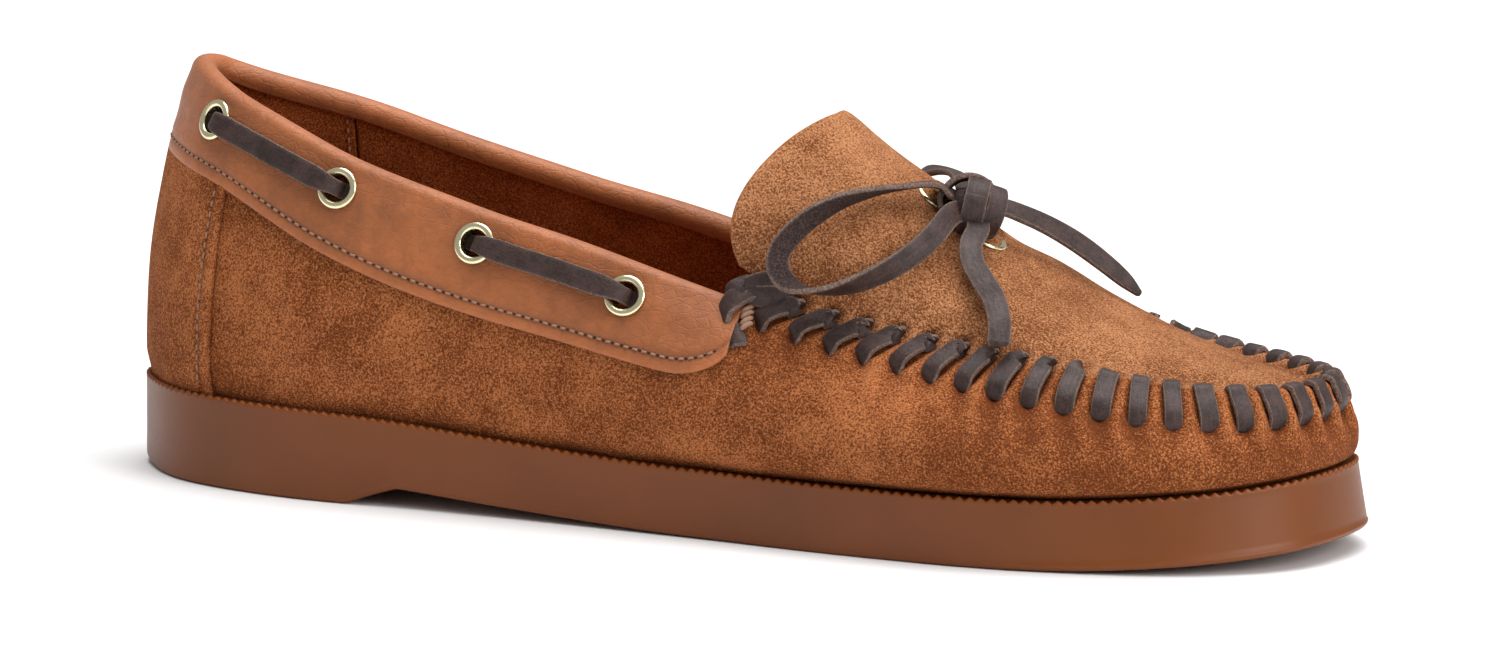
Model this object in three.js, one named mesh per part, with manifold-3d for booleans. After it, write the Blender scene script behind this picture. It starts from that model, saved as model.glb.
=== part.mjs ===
// A right-foot hand-sewn style moccasin on a gum rubber unit sole, in millimetres.
// +X points to the toe, +Z up, and the outer (lateral) side of the foot is -Y.
// Every soft wall is an offset of one parametric surface, so a change of size carries through.
import * as THREE from "three";
import { mergeVertices } from "three/addons/utils/BufferGeometryUtils.js";
import Module from "manifold-3d";

const wasm = await Module();
wasm.setup();

// ---- Overall sizes ------------------------------------------------------------------------------
const UPPER_LENGTH = 250; // plan length of the upper where it meets the sole
const BALL_WIDTH = 82; // width of the upper at the ball of the foot
const HEEL_TOP_HEIGHT = 82.9; // topline above the ground at the back of the heel
const THROAT_HEIGHT = 46; // topline above the ground where the apron seam begins
const TOE_SEAM_HEIGHT = 32; // apron seam above the ground at the toe
const APRON_PEAK_HEIGHT = 79; // top of the tongue end of the apron

// ---- Sole ---------------------------------------------------------------------------------------
const FOREFOOT_SOLE = 13.2; // rubber thickness under the ball
const HEEL_SOLE = 18.1; // rubber thickness under the heel
const TOE_SPRING = 4.4; // rise of the sole at the tip of the toe
const HEEL_LENGTH = 62; // flat length of the heel, back to breast
const HEEL_BREAST = 11; // length of the slope from the heel up to the waist
const HEEL_BACK_ROUND = 1.2; // rise of the bottom edge at the very back
const WELT_LEDGE = 1.6; // how far the sole stands out past the upper
const TOE_FLARE = 2.2; // how much further the bottom edge stands out at the toe
const HEEL_CENTRE = 34; // the ground point that is the part's origin, from the back

// ---- Leather and other sheet thicknesses --------------------------------------------------------
const GAP = 0.3; // clearance kept between touching pieces
const WRAP = 1.4; // suede of the vamp and quarters
const APRON = 1.4; // suede of the apron and tongue
const PATCH = 1.1; // suede patch over the back seam
const COLLAR = 0.8; // smooth leather of the collar band
const LINING = 0.75;
const STIFFENER = 1.1;
const MARGIN = 13; // width of the lasting margin turned in under the insole
const BOARD = 1.6;
const FOOTBED = 3;
const SOCK = 1;
const SHANK = 1.2; // spring steel strip
const SHANK_WIDTH = 12;
const SHANK_FROM = 46;
const SHANK_TO = 128;

// ---- Collar, eyelets and laces ------------------------------------------------------------------
const TUNNEL = 2.35; // space between the collar leaf and the lining, where the lace runs
const COLLAR_OVERLAP = 0.1; // share of the wall height where collar and quarter overlap
const FACING = 3.5; // height of the collar leaf folded down inside
const EYELET_HOLE = 5.4; // clear bore
const EYELET_FLANGE = 8.4;
const EYELET_BARREL_WALL = 0.35;
const EYELET_DROP = 7.2; // from the topline down to the eyelet centres
const COLLAR_EYELETS = [0.05, 0.116, 0.17, 0.228]; // places along the outline, heel = 0, toe = 0.5
const LACE_WIDTH = 4.5;
const LACE_THICKNESS = 1.3;
const LACE_WIDTH_IN_HOLE = Math.min(3, EYELET_HOLE - 2.4); // it folds to pass an eyelet
const WHIP_WIDTH = 3.7;
const WHIP_THICKNESS = 1.1;
const WHIP_STITCHES = 34; // lateral throat round the toe to the medial throat

// ---- Shape of the last, as shares of the sizes above --------------------------------------------
// Plan outline of the upper: share of the length, share of the ball width; heel, lateral, toe, medial.
const OUTLINE = [
  [0.0064, 0], [0.024, -0.14], [0.08, -0.296], [0.18, -0.384], [0.3, -0.393], [0.42, -0.412],
  [0.54, -0.444], [0.66, -0.485], [0.768, -0.493], [0.86, -0.437], [0.932, -0.339],
  [0.984, -0.183], [1.002, 0.037], [0.988, 0.195], [0.936, 0.356], [0.856, 0.468],
  [0.76, 0.506], [0.66, 0.48], [0.54, 0.412], [0.42, 0.366], [0.3, 0.354], [0.18, 0.332],
  [0.08, 0.259], [0.024, 0.152],
];
// Sole top: share of the extra heel thickness, and share of the toe spring.
const HEEL_RISE = [[0, 1], [0.12, 0.98], [0.24, 0.86], [0.36, 0.43], [0.48, 0.1], [0.6, 0]];
const TOE_RISE = [[0.72, 0], [0.84, 0.09], [0.94, 0.48], [1.02, 1]];
// Topline: share of the rise from the throat to the heel; seam: share of the rise from toe to throat.
const TOPLINE = [[0, 1], [0.048, 0.911], [0.14, 0.756], [0.24, 0.55], [0.34, 0.371], [0.42, 0.252],
  [0.5, 0.108], [0.56, 0]];
const SEAM = [[0.56, 1], [0.64, 0.65], [0.74, 0.41], [0.84, 0.236], [0.928, 0.057], [1.008, 0]];
// How far the wall's top edge leans in over the outline, and how far its middle swells out, in mm.
const LEAN = [[0, 9.3], [0.08, 11.3], [0.18, 8.7], [0.3, 5.9], [0.42, 5.4], [0.5, 6.9], [0.58, 9.6],
  [0.68, 12.2], [0.78, 13.2], [0.88, 11.3], [0.95, 7.6], [1.008, 3.2]];
const SWELL = [[0, 0.6], [0.12, 1], [0.3, 2.1], [0.48, 3.8], [0.6, 5], [0.74, 5.5], [0.88, 4],
  [1.008, 1.8]];
// Apron ridge: share of the rise from the toe seam to the tongue's peak.
const RIDGE = [[0.568, 1], [0.59, 1], [0.6, 0.968], [0.614, 0.909], [0.644, 0.789], [0.713, 0.53],
  [0.747, 0.445], [0.783, 0.335], [0.819, 0.245], [0.842, 0.195], [0.888, 0.12], [0.936, 0.05],
  [0.985, 0.01]];
// Collar's lower edge, as a share of the wall height.
const COLLAR_LOW = [[0, 0.71], [0.08, 0.71], [0.12, 0.69], [0.2, 0.62], [0.28, 0.565], [0.4, 0.54],
  [0.5, 0.53], [0.52, 0.54], [0.54, 0.59], [0.555, 0.68], [0.565, 0.82], [0.568, 0.88]];
const THROAT_U = 0.272; // where the collar ends and the apron seam begins, along the outline
const WRAP_SHORT = 0.11; // how far the wrap stops below the seam at the toe, under the flat apron's edge
const WRAP_TOP_FROM = 0.572; // share of the length where the wrap's edge reaches the seam

// ---- Small maths --------------------------------------------------------------------------------
const smooth = (a, b, x) => THREE.MathUtils.smoothstep(x, a, b);
const range = (n, f) => Array.from({ length: n }, (_, i) => f(i));
const lerp = (a, b, t) => a + (b - a) * t;
const spanU = (from, to, n) => range(n, (i) => lerp(from, to, i / (n - 1)));

// A smooth curve through [x, y] knots, held flat past its ends.
function knots(table, at) {
  const x = THREE.MathUtils.clamp(at, table[0][0], table.at(-1)[0]);
  const i = Math.min(table.findLastIndex((k) => k[0] <= x), table.length - 2);
  const slope = (j) => {
    const a = table[Math.max(j - 1, 0)];
    const b = table[Math.min(j + 1, table.length - 1)];
    return (b[1] - a[1]) / (b[0] - a[0]);
  };
  const [x0, y0] = table[i];
  const [x1, y1] = table[i + 1];
  const h = x1 - x0;
  const t = (x - x0) / h;
  const rise = (3 - 2 * t) * t * t;
  return y0 * (1 - rise) + y1 * rise + h * t * (1 - t) * (slope(i) * (1 - t) - slope(i + 1) * t);
}

const outlineCurve = new THREE.CatmullRomCurve3(
  OUTLINE.map(([x, y]) => new THREE.Vector3(x * UPPER_LENGTH, y * BALL_WIDTH, 0)),
  true,
  "catmullrom",
);
outlineCurve.arcLengthDivisions = 960;
const turn = (u) => u - Math.floor(u);

// A point of the plan outline and its outward direction.
function outline(u) {
  const point = outlineCurve.getPointAt(turn(u));
  const along = outlineCurve.getPointAt(turn(u + 0.004)).sub(outlineCurve.getPointAt(turn(u - 0.004)));
  return { point, out: new THREE.Vector3(along.y, -along.x, 0).normalize() };
}

const share = (x) => x / UPPER_LENGTH;
function soleTop(x) {
  const heel = (HEEL_SOLE - FOREFOOT_SOLE) * knots(HEEL_RISE, share(x));
  return FOREFOOT_SOLE + heel + TOE_SPRING * knots(TOE_RISE, share(x));
}
function soleBottom(x) {
  if (x < HEEL_LENGTH) return HEEL_BACK_ROUND * (1 - smooth(-2, 12, x));
  const waist = Math.max(soleTop(x) - FOREFOOT_SOLE, 0);
  return waist * Math.min((x - HEEL_LENGTH) / HEEL_BREAST, 1);
}
function topEdge(x) {
  const f = share(x);
  if (f < TOPLINE.at(-1)[0]) return lerp(THROAT_HEIGHT, HEEL_TOP_HEIGHT, knots(TOPLINE, f));
  return lerp(TOE_SEAM_HEIGHT, THROAT_HEIGHT, knots(SEAM, f));
}

// The outer face of the upper: u runs round the outline, s climbs from the sole (0) to the edge (1).
function wall(u, s) {
  const { point, out } = outline(u);
  const f = share(point.x);
  const rise = Math.min(Math.max(s, 0), 1) ** 0.8;
  const inward = knots(LEAN, f) * Math.max(s, 0) ** 2.2 - knots(SWELL, f) * Math.sin(Math.PI * rise);
  const z = lerp(soleTop(point.x), topEdge(point.x), s);
  return new THREE.Vector3(point.x, point.y, z).addScaledVector(out, -inward);
}
function wallFrame(u, s) {
  const up = wall(u, Math.min(s + 0.01, 1)).sub(wall(u, s - 0.02)).normalize();
  const along = wall(u + 0.002, s).sub(wall(u - 0.002, s)).normalize();
  const out = new THREE.Vector3().crossVectors(along, up).normalize();
  return { up, along, out };
}
// A point offset from the outer face of the upper: positive is outward.
const onWall = (u, s, off) => wall(u, s).addScaledVector(wallFrame(u, s).out, off);
const wallHeight = (u) => {
  const x = outline(u).point.x;
  return topEdge(x) - soleTop(x);
};

// ---- Solids -------------------------------------------------------------------------------------
// Triangles of a closed shell between two grids of points; edges are closed with strips.
function shell(outer, inner, closed = false) {
  const flat = [];
  const same = (a, b) => a.distanceToSquared(b) < 1e-8;
  const tri = (a, b, c) => {
    if (!same(a, b) && !same(b, c) && !same(a, c)) flat.push(a, b, c);
  };
  const quad = (a, b, c, d) => {
    tri(a, b, c);
    tri(a, c, d);
  };
  const rows = outer.length;
  const last = outer[0].length - 1;
  for (let i = 0; i < (closed ? rows : rows - 1); i++) {
    const k = (i + 1) % rows;
    for (let j = 0; j < last; j++) {
      quad(outer[i][j], outer[k][j], outer[k][j + 1], outer[i][j + 1]);
      quad(inner[i][j + 1], inner[k][j + 1], inner[k][j], inner[i][j]);
    }
    quad(inner[i][0], inner[k][0], outer[k][0], outer[i][0]);
    quad(outer[i][last], outer[k][last], inner[k][last], inner[i][last]);
  }
  if (!closed) {
    for (let j = 0; j < last; j++) {
      quad(outer[0][j], outer[0][j + 1], inner[0][j + 1], inner[0][j]);
      quad(inner[rows - 1][j], inner[rows - 1][j + 1], outer[rows - 1][j + 1], outer[rows - 1][j]);
    }
  }
  return orient(new THREE.BufferGeometry().setFromPoints(flat));
}

// Signed volume decides which way the faces look; they are turned to look out.
function orient(geometry) {
  const p = geometry.getAttribute("position");
  const [a, b, c] = [0, 1, 2].map(() => new THREE.Vector3());
  let volume = 0;
  for (let i = 0; i < p.count; i += 3) {
    a.fromBufferAttribute(p, i);
    b.fromBufferAttribute(p, i + 1);
    c.fromBufferAttribute(p, i + 2);
    volume += a.dot(b.cross(c));
  }
  if (volume < 0) {
    for (let i = 0; i < p.count; i += 3) {
      b.fromBufferAttribute(p, i + 1);
      c.fromBufferAttribute(p, i + 2);
      p.setXYZ(i + 1, c.x, c.y, c.z);
      p.setXYZ(i + 2, b.x, b.y, b.z);
    }
  }
  return geometry;
}

function toSolid(geometry) {
  const plain = geometry.index ? geometry.toNonIndexed() : geometry.clone();
  plain.deleteAttribute("normal");
  plain.deleteAttribute("uv");
  const merged = mergeVertices(plain, 1e-3);
  return new wasm.Manifold(
    new wasm.Mesh({
      numProp: 3,
      vertProperties: merged.getAttribute("position").array,
      triVerts: new Uint32Array(merged.index.array),
    }),
  );
}
function toGeometry(solid) {
  const mesh = solid.getMesh();
  const geometry = new THREE.BufferGeometry();
  geometry.setAttribute("position", new THREE.BufferAttribute(mesh.vertProperties, 3));
  return geometry.setIndex(new THREE.BufferAttribute(mesh.triVerts, 1));
}
function cut(geometry, cutters) {
  let solid = toSolid(geometry);
  for (const cutter of cutters) solid = solid.subtract(toSolid(cutter));
  return toGeometry(solid);
}

// A thin sheet between two offsets of the wall: us along the outline, ss(u) up the wall.
function wallSheet(us, ss, outerOff, innerOff, closed = false) {
  const grid = (off) => us.map((u) => ss(u).map((s) => onWall(u, s, off(u, s))));
  return shell(grid(outerOff), grid(innerOff), closed);
}

// A flat strap along a path: each stop is { at, across, up, width, thick }.
function strap(stops) {
  const corner = (stop, side, face) =>
    stop.at
      .clone()
      .addScaledVector(stop.across, (side * stop.width) / 2)
      .addScaledVector(stop.up, (face * stop.thick) / 2);
  const grid = (face) => stops.map((stop) => [corner(stop, -1, face), corner(stop, 1, face)]);
  return shell(grid(1), grid(-1));
}

// Plates that follow the plan of the sole: a grid of straight lines across the foot.
function planEdges(offset, count = 240) {
  const rim = range(count, (i) => {
    const { point, out } = outline(i / count);
    return point.addScaledVector(out, offset);
  });
  const xs = rim.map((p) => p.x);
  const rear = xs.indexOf(Math.min(...xs));
  const front = xs.indexOf(Math.max(...xs));
  const walk = (from, to, step) => {
    const path = [rim[from]];
    for (let i = from; i !== to; ) {
      i = (i + step + count) % count;
      path.push(rim[i]);
    }
    return path;
  };
  const sides = [walk(rear, front, 1), walk(rear, front, -1)];
  const yAt = (side, x) => {
    const k = Math.max(side.findIndex((p) => p.x >= x), 1);
    const [a, b] = [side[k - 1], side[k]];
    return lerp(a.y, b.y, THREE.MathUtils.clamp((x - a.x) / (b.x - a.x || 1), 0, 1));
  };
  return { from: rim[rear].x, to: rim[front].x, y: (x) => sides.map((side) => yAt(side, x)) };
}
function plate(offset, low, high, stations = 30, columns = 5) {
  const edges = planEdges(offset);
  const half = (edges.to - edges.from) / 2;
  const xs = range(stations, (i) => edges.from + half * (1 - Math.cos((Math.PI * i) / (stations - 1))));
  const grid = (z) =>
    xs.map((x) => {
      const [a, b] = edges.y(x);
      return range(columns, (j) => new THREE.Vector3(x, lerp(a, b, j / (columns - 1)), z(x)));
    });
  return shell(grid(high), grid(low));
}

// ---- Sole and insole pieces ---------------------------------------------------------------------
const SOLE_STATIONS = 34;
function outsole() {
  const rim = planEdges(WELT_LEDGE);
  const half = (rim.to - rim.from) / 2;
  const even = spanU(0, Math.PI, SOLE_STATIONS).map((k) => rim.from + half * (1 - Math.cos(k)));
  const stations = [...even, HEEL_LENGTH, HEEL_LENGTH + HEEL_BREAST].sort((a, b) => a - b);
  const flare = (x) => TOE_FLARE * smooth(0.7, 1, share(x));
  const row = (x, low) => {
    const [a, b] = rim.y(x);
    const centre = (a + b) / 2;
    const grow = low ? 1 + flare(x) / Math.max((b - a) / 2, 12) : 1;
    const shift = low ? flare(x) * smooth(0.94, 1, share(x)) : 0;
    const z = low ? soleBottom(x) : soleTop(x);
    return range(7, (j) => new THREE.Vector3(x + shift, centre + (lerp(a, b, j / 6) - centre) * grow, z));
  };
  return shell(stations.map((x) => row(x, false)), stations.map((x) => row(x, true)));
}
const levels = { margin: GAP, board: GAP + WRAP + 1.5 * GAP };
levels.footbed = levels.board + BOARD + GAP;
levels.sock = levels.footbed + FOOTBED + GAP;
const INSIDE = WRAP + GAP + STIFFENER + GAP + LINING + 1.2; // from the wall's face to the insole's edge
const bottomPiece = (inset, from, thickness) =>
  plate(-inset, (x) => soleTop(x) + from, (x) => soleTop(x) + from + thickness);

// The steel strip lies in a slot of the filler, from the heel seat to the waist.
function shankStrip(clearance) {
  const xs = range(8, (i) => lerp(SHANK_FROM - clearance, SHANK_TO + clearance, i / 7));
  const y = SHANK_WIDTH / 2 + clearance;
  const grid = (up) => xs.map((x) => [-y, y].map((v) => new THREE.Vector3(x, v, soleTop(x) + up)));
  const low = levels.margin - (clearance ? 1 : 0);
  const high = levels.margin + SHANK + (clearance ? 1 : 0);
  return shell(grid(high), grid(low));
}
const soleFiller = () => cut(bottomPiece(MARGIN + GAP, levels.margin, WRAP), [shankStrip(GAP)]);

// ---- Upper --------------------------------------------------------------------------------------
const collarLow = (u) => knots(COLLAR_LOW, share(outline(u).point.x));
const wrapTop = (u) => {
  const f = share(outline(u).point.x);
  const under = collarLow(u) + COLLAR_OVERLAP;
  const seam = 1 - WRAP_SHORT * smooth(0.66, 0.76, f);
  return lerp(Math.min(under, 1), seam, smooth(0.545, WRAP_TOP_FROM, f));
};

// One hide from the lateral side of the back seam round the toe to the medial side.
function wrapHide() {
  const us = spanU(0.0012, 0.9988, 67);
  const steps = [0.07, 0.2, 0.36, 0.52, 0.68, 0.84, 0.94, 1];
  const profile = (u, depth) => {
    const { point, out } = outline(u);
    const turned = (inset) => {
      const at = point.clone().addScaledVector(out, -inset);
      return at.setZ(soleTop(at.x) + GAP + depth);
    };
    const top = wrapTop(u);
    return [turned(MARGIN), turned(1.2 + depth), ...steps.map((k) => onWall(u, k * top, -depth))];
  };
  const hide = shell(us.map((u) => profile(u, 0)), us.map((u) => profile(u, WRAP)));
  const middle = (stitch) => onWall(stitch.u, stitch.low + 0.02, -WRAP / 2);
  return cut(hide, whipStitches.map((stitch) => slit(middle(stitch), stitch.wallUp)));
}
const PATCH_U = 0.066; // half width of the heel patch, along the outline
const heelPatch = () =>
  wallSheet(
    spanU(-PATCH_U, PATCH_U, 13),
    (u) => spanU(0.02, collarLow(u) - 0.012, 7),
    () => GAP + PATCH,
    () => GAP,
  );

// The stiffener thins away towards the front of the heel cup and below the collar.
const STIFF_U = 0.125;
const fromHeel = (u) => Math.abs(u > 0.5 ? u - 1 : u);
const STIFF_EDGE = 0.15; // thickness left at the skived edge
const stiffThickness = (u) =>
  STIFF_EDGE + (STIFFENER - STIFF_EDGE) * (1 - smooth(0.06, STIFF_U + 0.015, fromHeel(u)));
const STIFF_BACK = 1.5 * GAP; // clearance between the wrap and the stiffener
const STIFF_TOP = 0.54;
const heelStiffener = () =>
  wallSheet(
    spanU(-STIFF_U, STIFF_U, 19),
    () => spanU(0.16, STIFF_TOP, 6),
    () => -(WRAP + STIFF_BACK),
    (u) => -(WRAP + STIFF_BACK + stiffThickness(u)),
  );
const FACE = GAP + PATCH; // outer face of the collar above the wall
const LEAF_BACK = FACE - COLLAR;
// Outer face of the lining beside the lace tunnel, never closer to the wrap than a gap.
const LINING_OFF = Math.min(LEAF_BACK - TUNNEL, -(WRAP + GAP + 0.05));
const CLEAR_LINING = 2.3 * GAP; // clearance to the wrap and stiffener, where the wall is curved most
const liningOff = (u, s) => {
  const stiff = (1 - smooth(STIFF_U, STIFF_U + 0.05, fromHeel(u))) * (STIFF_BACK + stiffThickness(u));
  const low = -(WRAP + CLEAR_LINING + stiff);
  return lerp(Math.min(low, LINING_OFF), LINING_OFF, smooth(STIFF_TOP + 0.05, STIFF_TOP + 0.19, s));
};
const ROLL = (FACE - (LINING_OFF - LINING - GAP - COLLAR)) / 2; // radius of the topline roll
const rollCentre = FACE - ROLL;
const rollS = (u) => 1 - ROLL / wallHeight(u);
const lining = (from, to, n) =>
  wallSheet(
    spanU(from, to, n),
    (u) => [0.14, 0.32, 0.46, STIFF_TOP + 0.04, 0.65, 0.73, rollS(u) - 0.01],
    liningOff,
    (u, s) => liningOff(u, s) - LINING,
  );

// The collar leaf climbs the outside, rolls over the topline and turns down inside.
const COLLAR_END_U = THROAT_U - 0.0035;
const ARC_POINTS = 5;
function collarProfile(u, back) {
  const top = rollS(u);
  const low = Math.min(collarLow(u), top - 0.03);
  const depth = back ? COLLAR : 0;
  const outside = [0, 0.28, 0.56, 0.84].map((k) => onWall(u, lerp(low, top, k), FACE - depth));
  const centre = onWall(u, top, rollCentre);
  const { up, out } = wallFrame(u, top);
  const arc = range(ARC_POINTS, (i) => {
    const angle = (Math.PI * i) / (ARC_POINTS - 1);
    return centre
      .clone()
      .addScaledVector(out, (ROLL - depth) * Math.cos(angle))
      .addScaledVector(up, (ROLL - depth) * Math.sin(angle));
  });
  const facing = arc.at(-1).clone().addScaledVector(up, -FACING);
  return [...outside, ...arc, facing];
}
const eyeletS = (u) => 1 - EYELET_DROP / wallHeight(u);
const collarPlaces = [...COLLAR_EYELETS, ...COLLAR_EYELETS.map((u) => 1 - u)];
const collarSpot = (u) => [onWall(u, eyeletS(u), (FACE + LEAF_BACK) / 2), wallFrame(u, eyeletS(u)).out];
function collarBand() {
  const us = spanU(-COLLAR_END_U, COLLAR_END_U, 41);
  const leaf = shell(us.map((u) => collarProfile(u, false)), us.map((u) => collarProfile(u, true)));
  const holes = collarPlaces.map((u) => borer(...collarSpot(u)));
  return cut(leaf, holes);
}

// ---- Eyelets ------------------------------------------------------------------------------------
const BARREL = EYELET_HOLE / 2 + EYELET_BARREL_WALL;
const facing = (out) => new THREE.Quaternion().setFromUnitVectors(new THREE.Vector3(0, 1, 0), out);
const placed = (geometry, at, out) =>
  orient(geometry.toNonIndexed()).applyQuaternion(facing(out)).translate(at.x, at.y, at.z);
const borer = (at, out) => placed(new THREE.CylinderGeometry(BARREL + 0.25, BARREL + 0.25, 4, 12), at, out);
// A pressed grommet, with its centre in the middle of its sheet. A curved sheet needs more room behind it.
function eyelet(at, out, sheet, room) {
  const front = sheet / 2 + room / 2;
  const back = -sheet / 2 - room;
  const profile = [
    [EYELET_HOLE / 2, back - 0.25], [EYELET_HOLE / 2, front + 0.35], [EYELET_HOLE / 2 + 0.75, front + 0.65],
    [EYELET_FLANGE / 2, front], [BARREL, front], [BARREL, back], [BARREL + 0.8, back],
    [BARREL + 0.8, back - 0.25], [EYELET_HOLE / 2, back - 0.25],
  ].map(([r, y]) => new THREE.Vector2(r, y));
  return placed(new THREE.LatheGeometry(profile, 12), at, out);
}

// ---- Apron and tongue ---------------------------------------------------------------------------
const TONGUE_FLARE = 13; // how far the tongue's rear edge sweeps back beside its peak
const TONGUE_FORWARD = 4.5; // how far the peak stands ahead of the throat
const TONGUE_FULLNESS = 0.25; // how much fuller than an ellipse the tongue's arch is
// v runs from the toe (0) to the rear edge of the tongue (1), t across from lateral (-1) to medial (1).
function apronFace(v, t) {
  const reach = (0.5 - THROAT_U) * v ** 0.85;
  const a = wall(0.5 - reach, 1);
  const b = wall(0.5 + reach, 1);
  const middle = a.clone().lerp(b, 0.5);
  const rear = smooth(0.8, 1, v);
  const ridgeX = middle.x + TONGUE_FORWARD * rear;
  const ridgeZ = lerp(TOE_SEAM_HEIGHT, APRON_PEAK_HEIGHT, knots(RIDGE, share(ridgeX)));
  const arch = (t * Math.PI) / 2;
  const bell = 2 - smooth(0.15, 0.55, v) - TONGUE_FULLNESS * rear;
  const side = Math.abs(t);
  const point = a.lerp(b, (1 + Math.sin(arch)) / 2);
  point.z += Math.max(ridgeZ - middle.z, 0) * Math.max(Math.cos(arch), 0) ** bell;
  point.x += TONGUE_FORWARD * rear * Math.max(Math.cos(arch), 0) ** 1.2;
  point.x -= TONGUE_FLARE * rear * side ** 1.2 * (1 - side ** 6);
  return point;
}
function apronOut(v, t) {
  const across = apronFace(v, Math.min(t + 0.02, 1)).sub(apronFace(v, Math.max(t - 0.02, -1)));
  const along = apronFace(Math.min(v + 0.01, 1), t).sub(apronFace(v - 0.01, t));
  return across.cross(along).normalize();
}
const onApron = (v, t, off) => apronFace(v, t).addScaledVector(apronOut(v, t), off);
const APRON_EDGE = 0.985; // the apron stops just short of the seam line
const APRON_END = 0.865; // fixed part of the apron, at the ridge
const APRON_END_SIDE = 0.945; // and beside the throat
const FOLD_ROOM = 0.04; // wedge left open at the ridge so that the tongue can lift
const FOLD_ROOM_SIDE = 0.01;
const TONGUE_LEG = 0.85;
const apronRear = (t) => lerp(APRON_END, APRON_END_SIDE, t * t);
const tongueStart = (t) => apronRear(t) + lerp(FOLD_ROOM, FOLD_ROOM_SIDE, t * t);
const APRON_EYELETS = [0.774, 0.678]; // places along the ridge, rear one first
const APRON_EYELET_T = -0.03;
const APRON_EYELET_ROOM = 0.9; // the ridge is curved, so its grommets stand off it
const apronSpot = (v) => [onApron(v, APRON_EYELET_T, -APRON / 2), apronOut(v, APRON_EYELET_T)];
function apronSheet(from, to, rows, reach) {
  const ts = spanU(-reach, reach, 15);
  const grid = (off) =>
    spanU(0, 1, rows).map((k) => ts.map((t) => onApron(lerp(from(t), to(t), k), t, off)));
  return shell(grid(0), grid(-APRON));
}
const apronHide = () =>
  cut(
    apronSheet(() => 0.03, apronRear, 21, APRON_EDGE),
    [
      ...APRON_EYELETS.map((v) => borer(...apronSpot(v))),
      ...whipStitches.map(({ v, t, across }) =>
        slit(onApron(v, t, -APRON / 2), { up: apronOut(v, t), across }),
      ),
    ],
  );
const tongue = () => apronSheet(tongueStart, () => 1, 4, TONGUE_LEG);

// ---- Whip stitching round the toe ---------------------------------------------------------------
const WHIP_FROM = 0.288; // first stitch on the lateral side, along the outline
const WHIP_RISE = 0.72; // where a stitch enters the wrap, as a share of the wall height, at the toe
const WHIP_RISE_THROAT = 0.14; // how much higher it enters at the throat
const WHIP_LEAN = 0.0115; // how far ahead a stitch ends at the throat, along the outline
const WHIP_INSIDE = 3.2; // how far in from the seam a stitch enters the apron
const WHIP_OVER = 0.9; // height of a stitch above the leather at the seam
const SLIT_HEIGHT = 3.6;
const whipPitch = (1 - 2 * WHIP_FROM) / (WHIP_STITCHES - 1);

// The place on the apron that lies square to the seam at u, a given distance in along its surface.
function apronInside(u, distance) {
  const seam = wall(u, 1);
  const along = outline(u).out.clone().cross(new THREE.Vector3(0, 0, 1)).normalize();
  const side = u < 0.5 ? -1 : 1;
  const start = (Math.abs(u - 0.5) / (0.5 - THROAT_U)) ** (1 / 0.85);
  const level = (t) => {
    let [low, high] = [Math.max(start - 0.1, 0), Math.min(start + 0.5, 1)];
    const ahead = (v) => apronFace(v, t).sub(seam).dot(along) * side < 0;
    for (let i = 0; i < 18; i++) {
      const v = (low + high) / 2;
      if (ahead(v)) high = v;
      else low = v;
    }
    return high;
  };
  let before = seam;
  let gone = 0;
  for (let k = 1; k < 80; k++) {
    const t = side * (1 - 0.012 * k);
    const v = level(t);
    const here = apronFace(v, t);
    gone += here.distanceTo(before);
    if (gone >= distance) return { v, t };
    before = here;
  }
  throw new Error("the apron is too narrow for its stitches");
}
// Stitches from the lateral throat round the toe to the medial throat.
const whipStitches = range(WHIP_STITCHES, (i) => {
  const u = WHIP_FROM + whipPitch * i;
  const side = u < 0.5 ? 1 : -1;
  const throat = smooth(0.12, 0.215, Math.abs(u - 0.5));
  const head = u + side * WHIP_LEAN * throat;
  const low = WHIP_RISE + WHIP_RISE_THROAT * throat;
  const frame = wallFrame(u, low);
  const wallUp = { up: frame.out, across: frame.along };
  const across = wallFrame(head, 0.9).along;
  return { u, head, low, wallUp, across, ...apronInside(head, WHIP_INSIDE) };
});
// A slot through a sheet of leather, for one stitch.
function slit(at, { up, across }) {
  const along = new THREE.Vector3().crossVectors(up, across).normalize();
  const box = new THREE.BoxGeometry(WHIP_WIDTH + 2 * GAP, SLIT_HEIGHT, 3.4 * WRAP);
  const square = new THREE.Vector3().crossVectors(along, up);
  return box.applyMatrix4(new THREE.Matrix4().makeBasis(square, along, up).setPosition(at));
}
function whipPath() {
  const over = GAP + WHIP_THICKNESS / 2;
  const under = over + 0.6; // the inside of the seam is a hollow corner
  const stops = [];
  whipStitches.forEach(({ u, head, low, v, t }, i) => {
    const mid = (u + head) / 2;
    const on = (k, s, off) => ({ at: onWall(k, s, off), up: wallFrame(k, s).out });
    const inner = (off) => ({ at: onApron(v, t, off), up: apronOut(v, t) });
    const next = u + whipPitch;
    const points = [
      [on(u, low - 0.01, -(WRAP + under)), u], [on(u, low + 0.02, -WRAP / 2), u],
      [on(u, low + 0.05, over), u],
      [on(mid, (low + 1) / 2 + 0.04, WHIP_OVER), mid], [on(mid, 1, WHIP_OVER + 0.5), mid],
      [inner(over + 0.15), head],
      [inner(-APRON / 2), head], [inner(-(APRON + under)), head],
    ];
    if (i < WHIP_STITCHES - 1) points.push([on((head + next) / 2, 0.95, -(WRAP + under + 1.4)), next]);
    points.forEach(([place, k]) => {
      const across = wallFrame(k, 0.9).along;
      stops.push({ ...place, across, width: WHIP_WIDTH, thick: WHIP_THICKNESS });
    });
  });
  return tidyFrames(stops);
}
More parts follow.
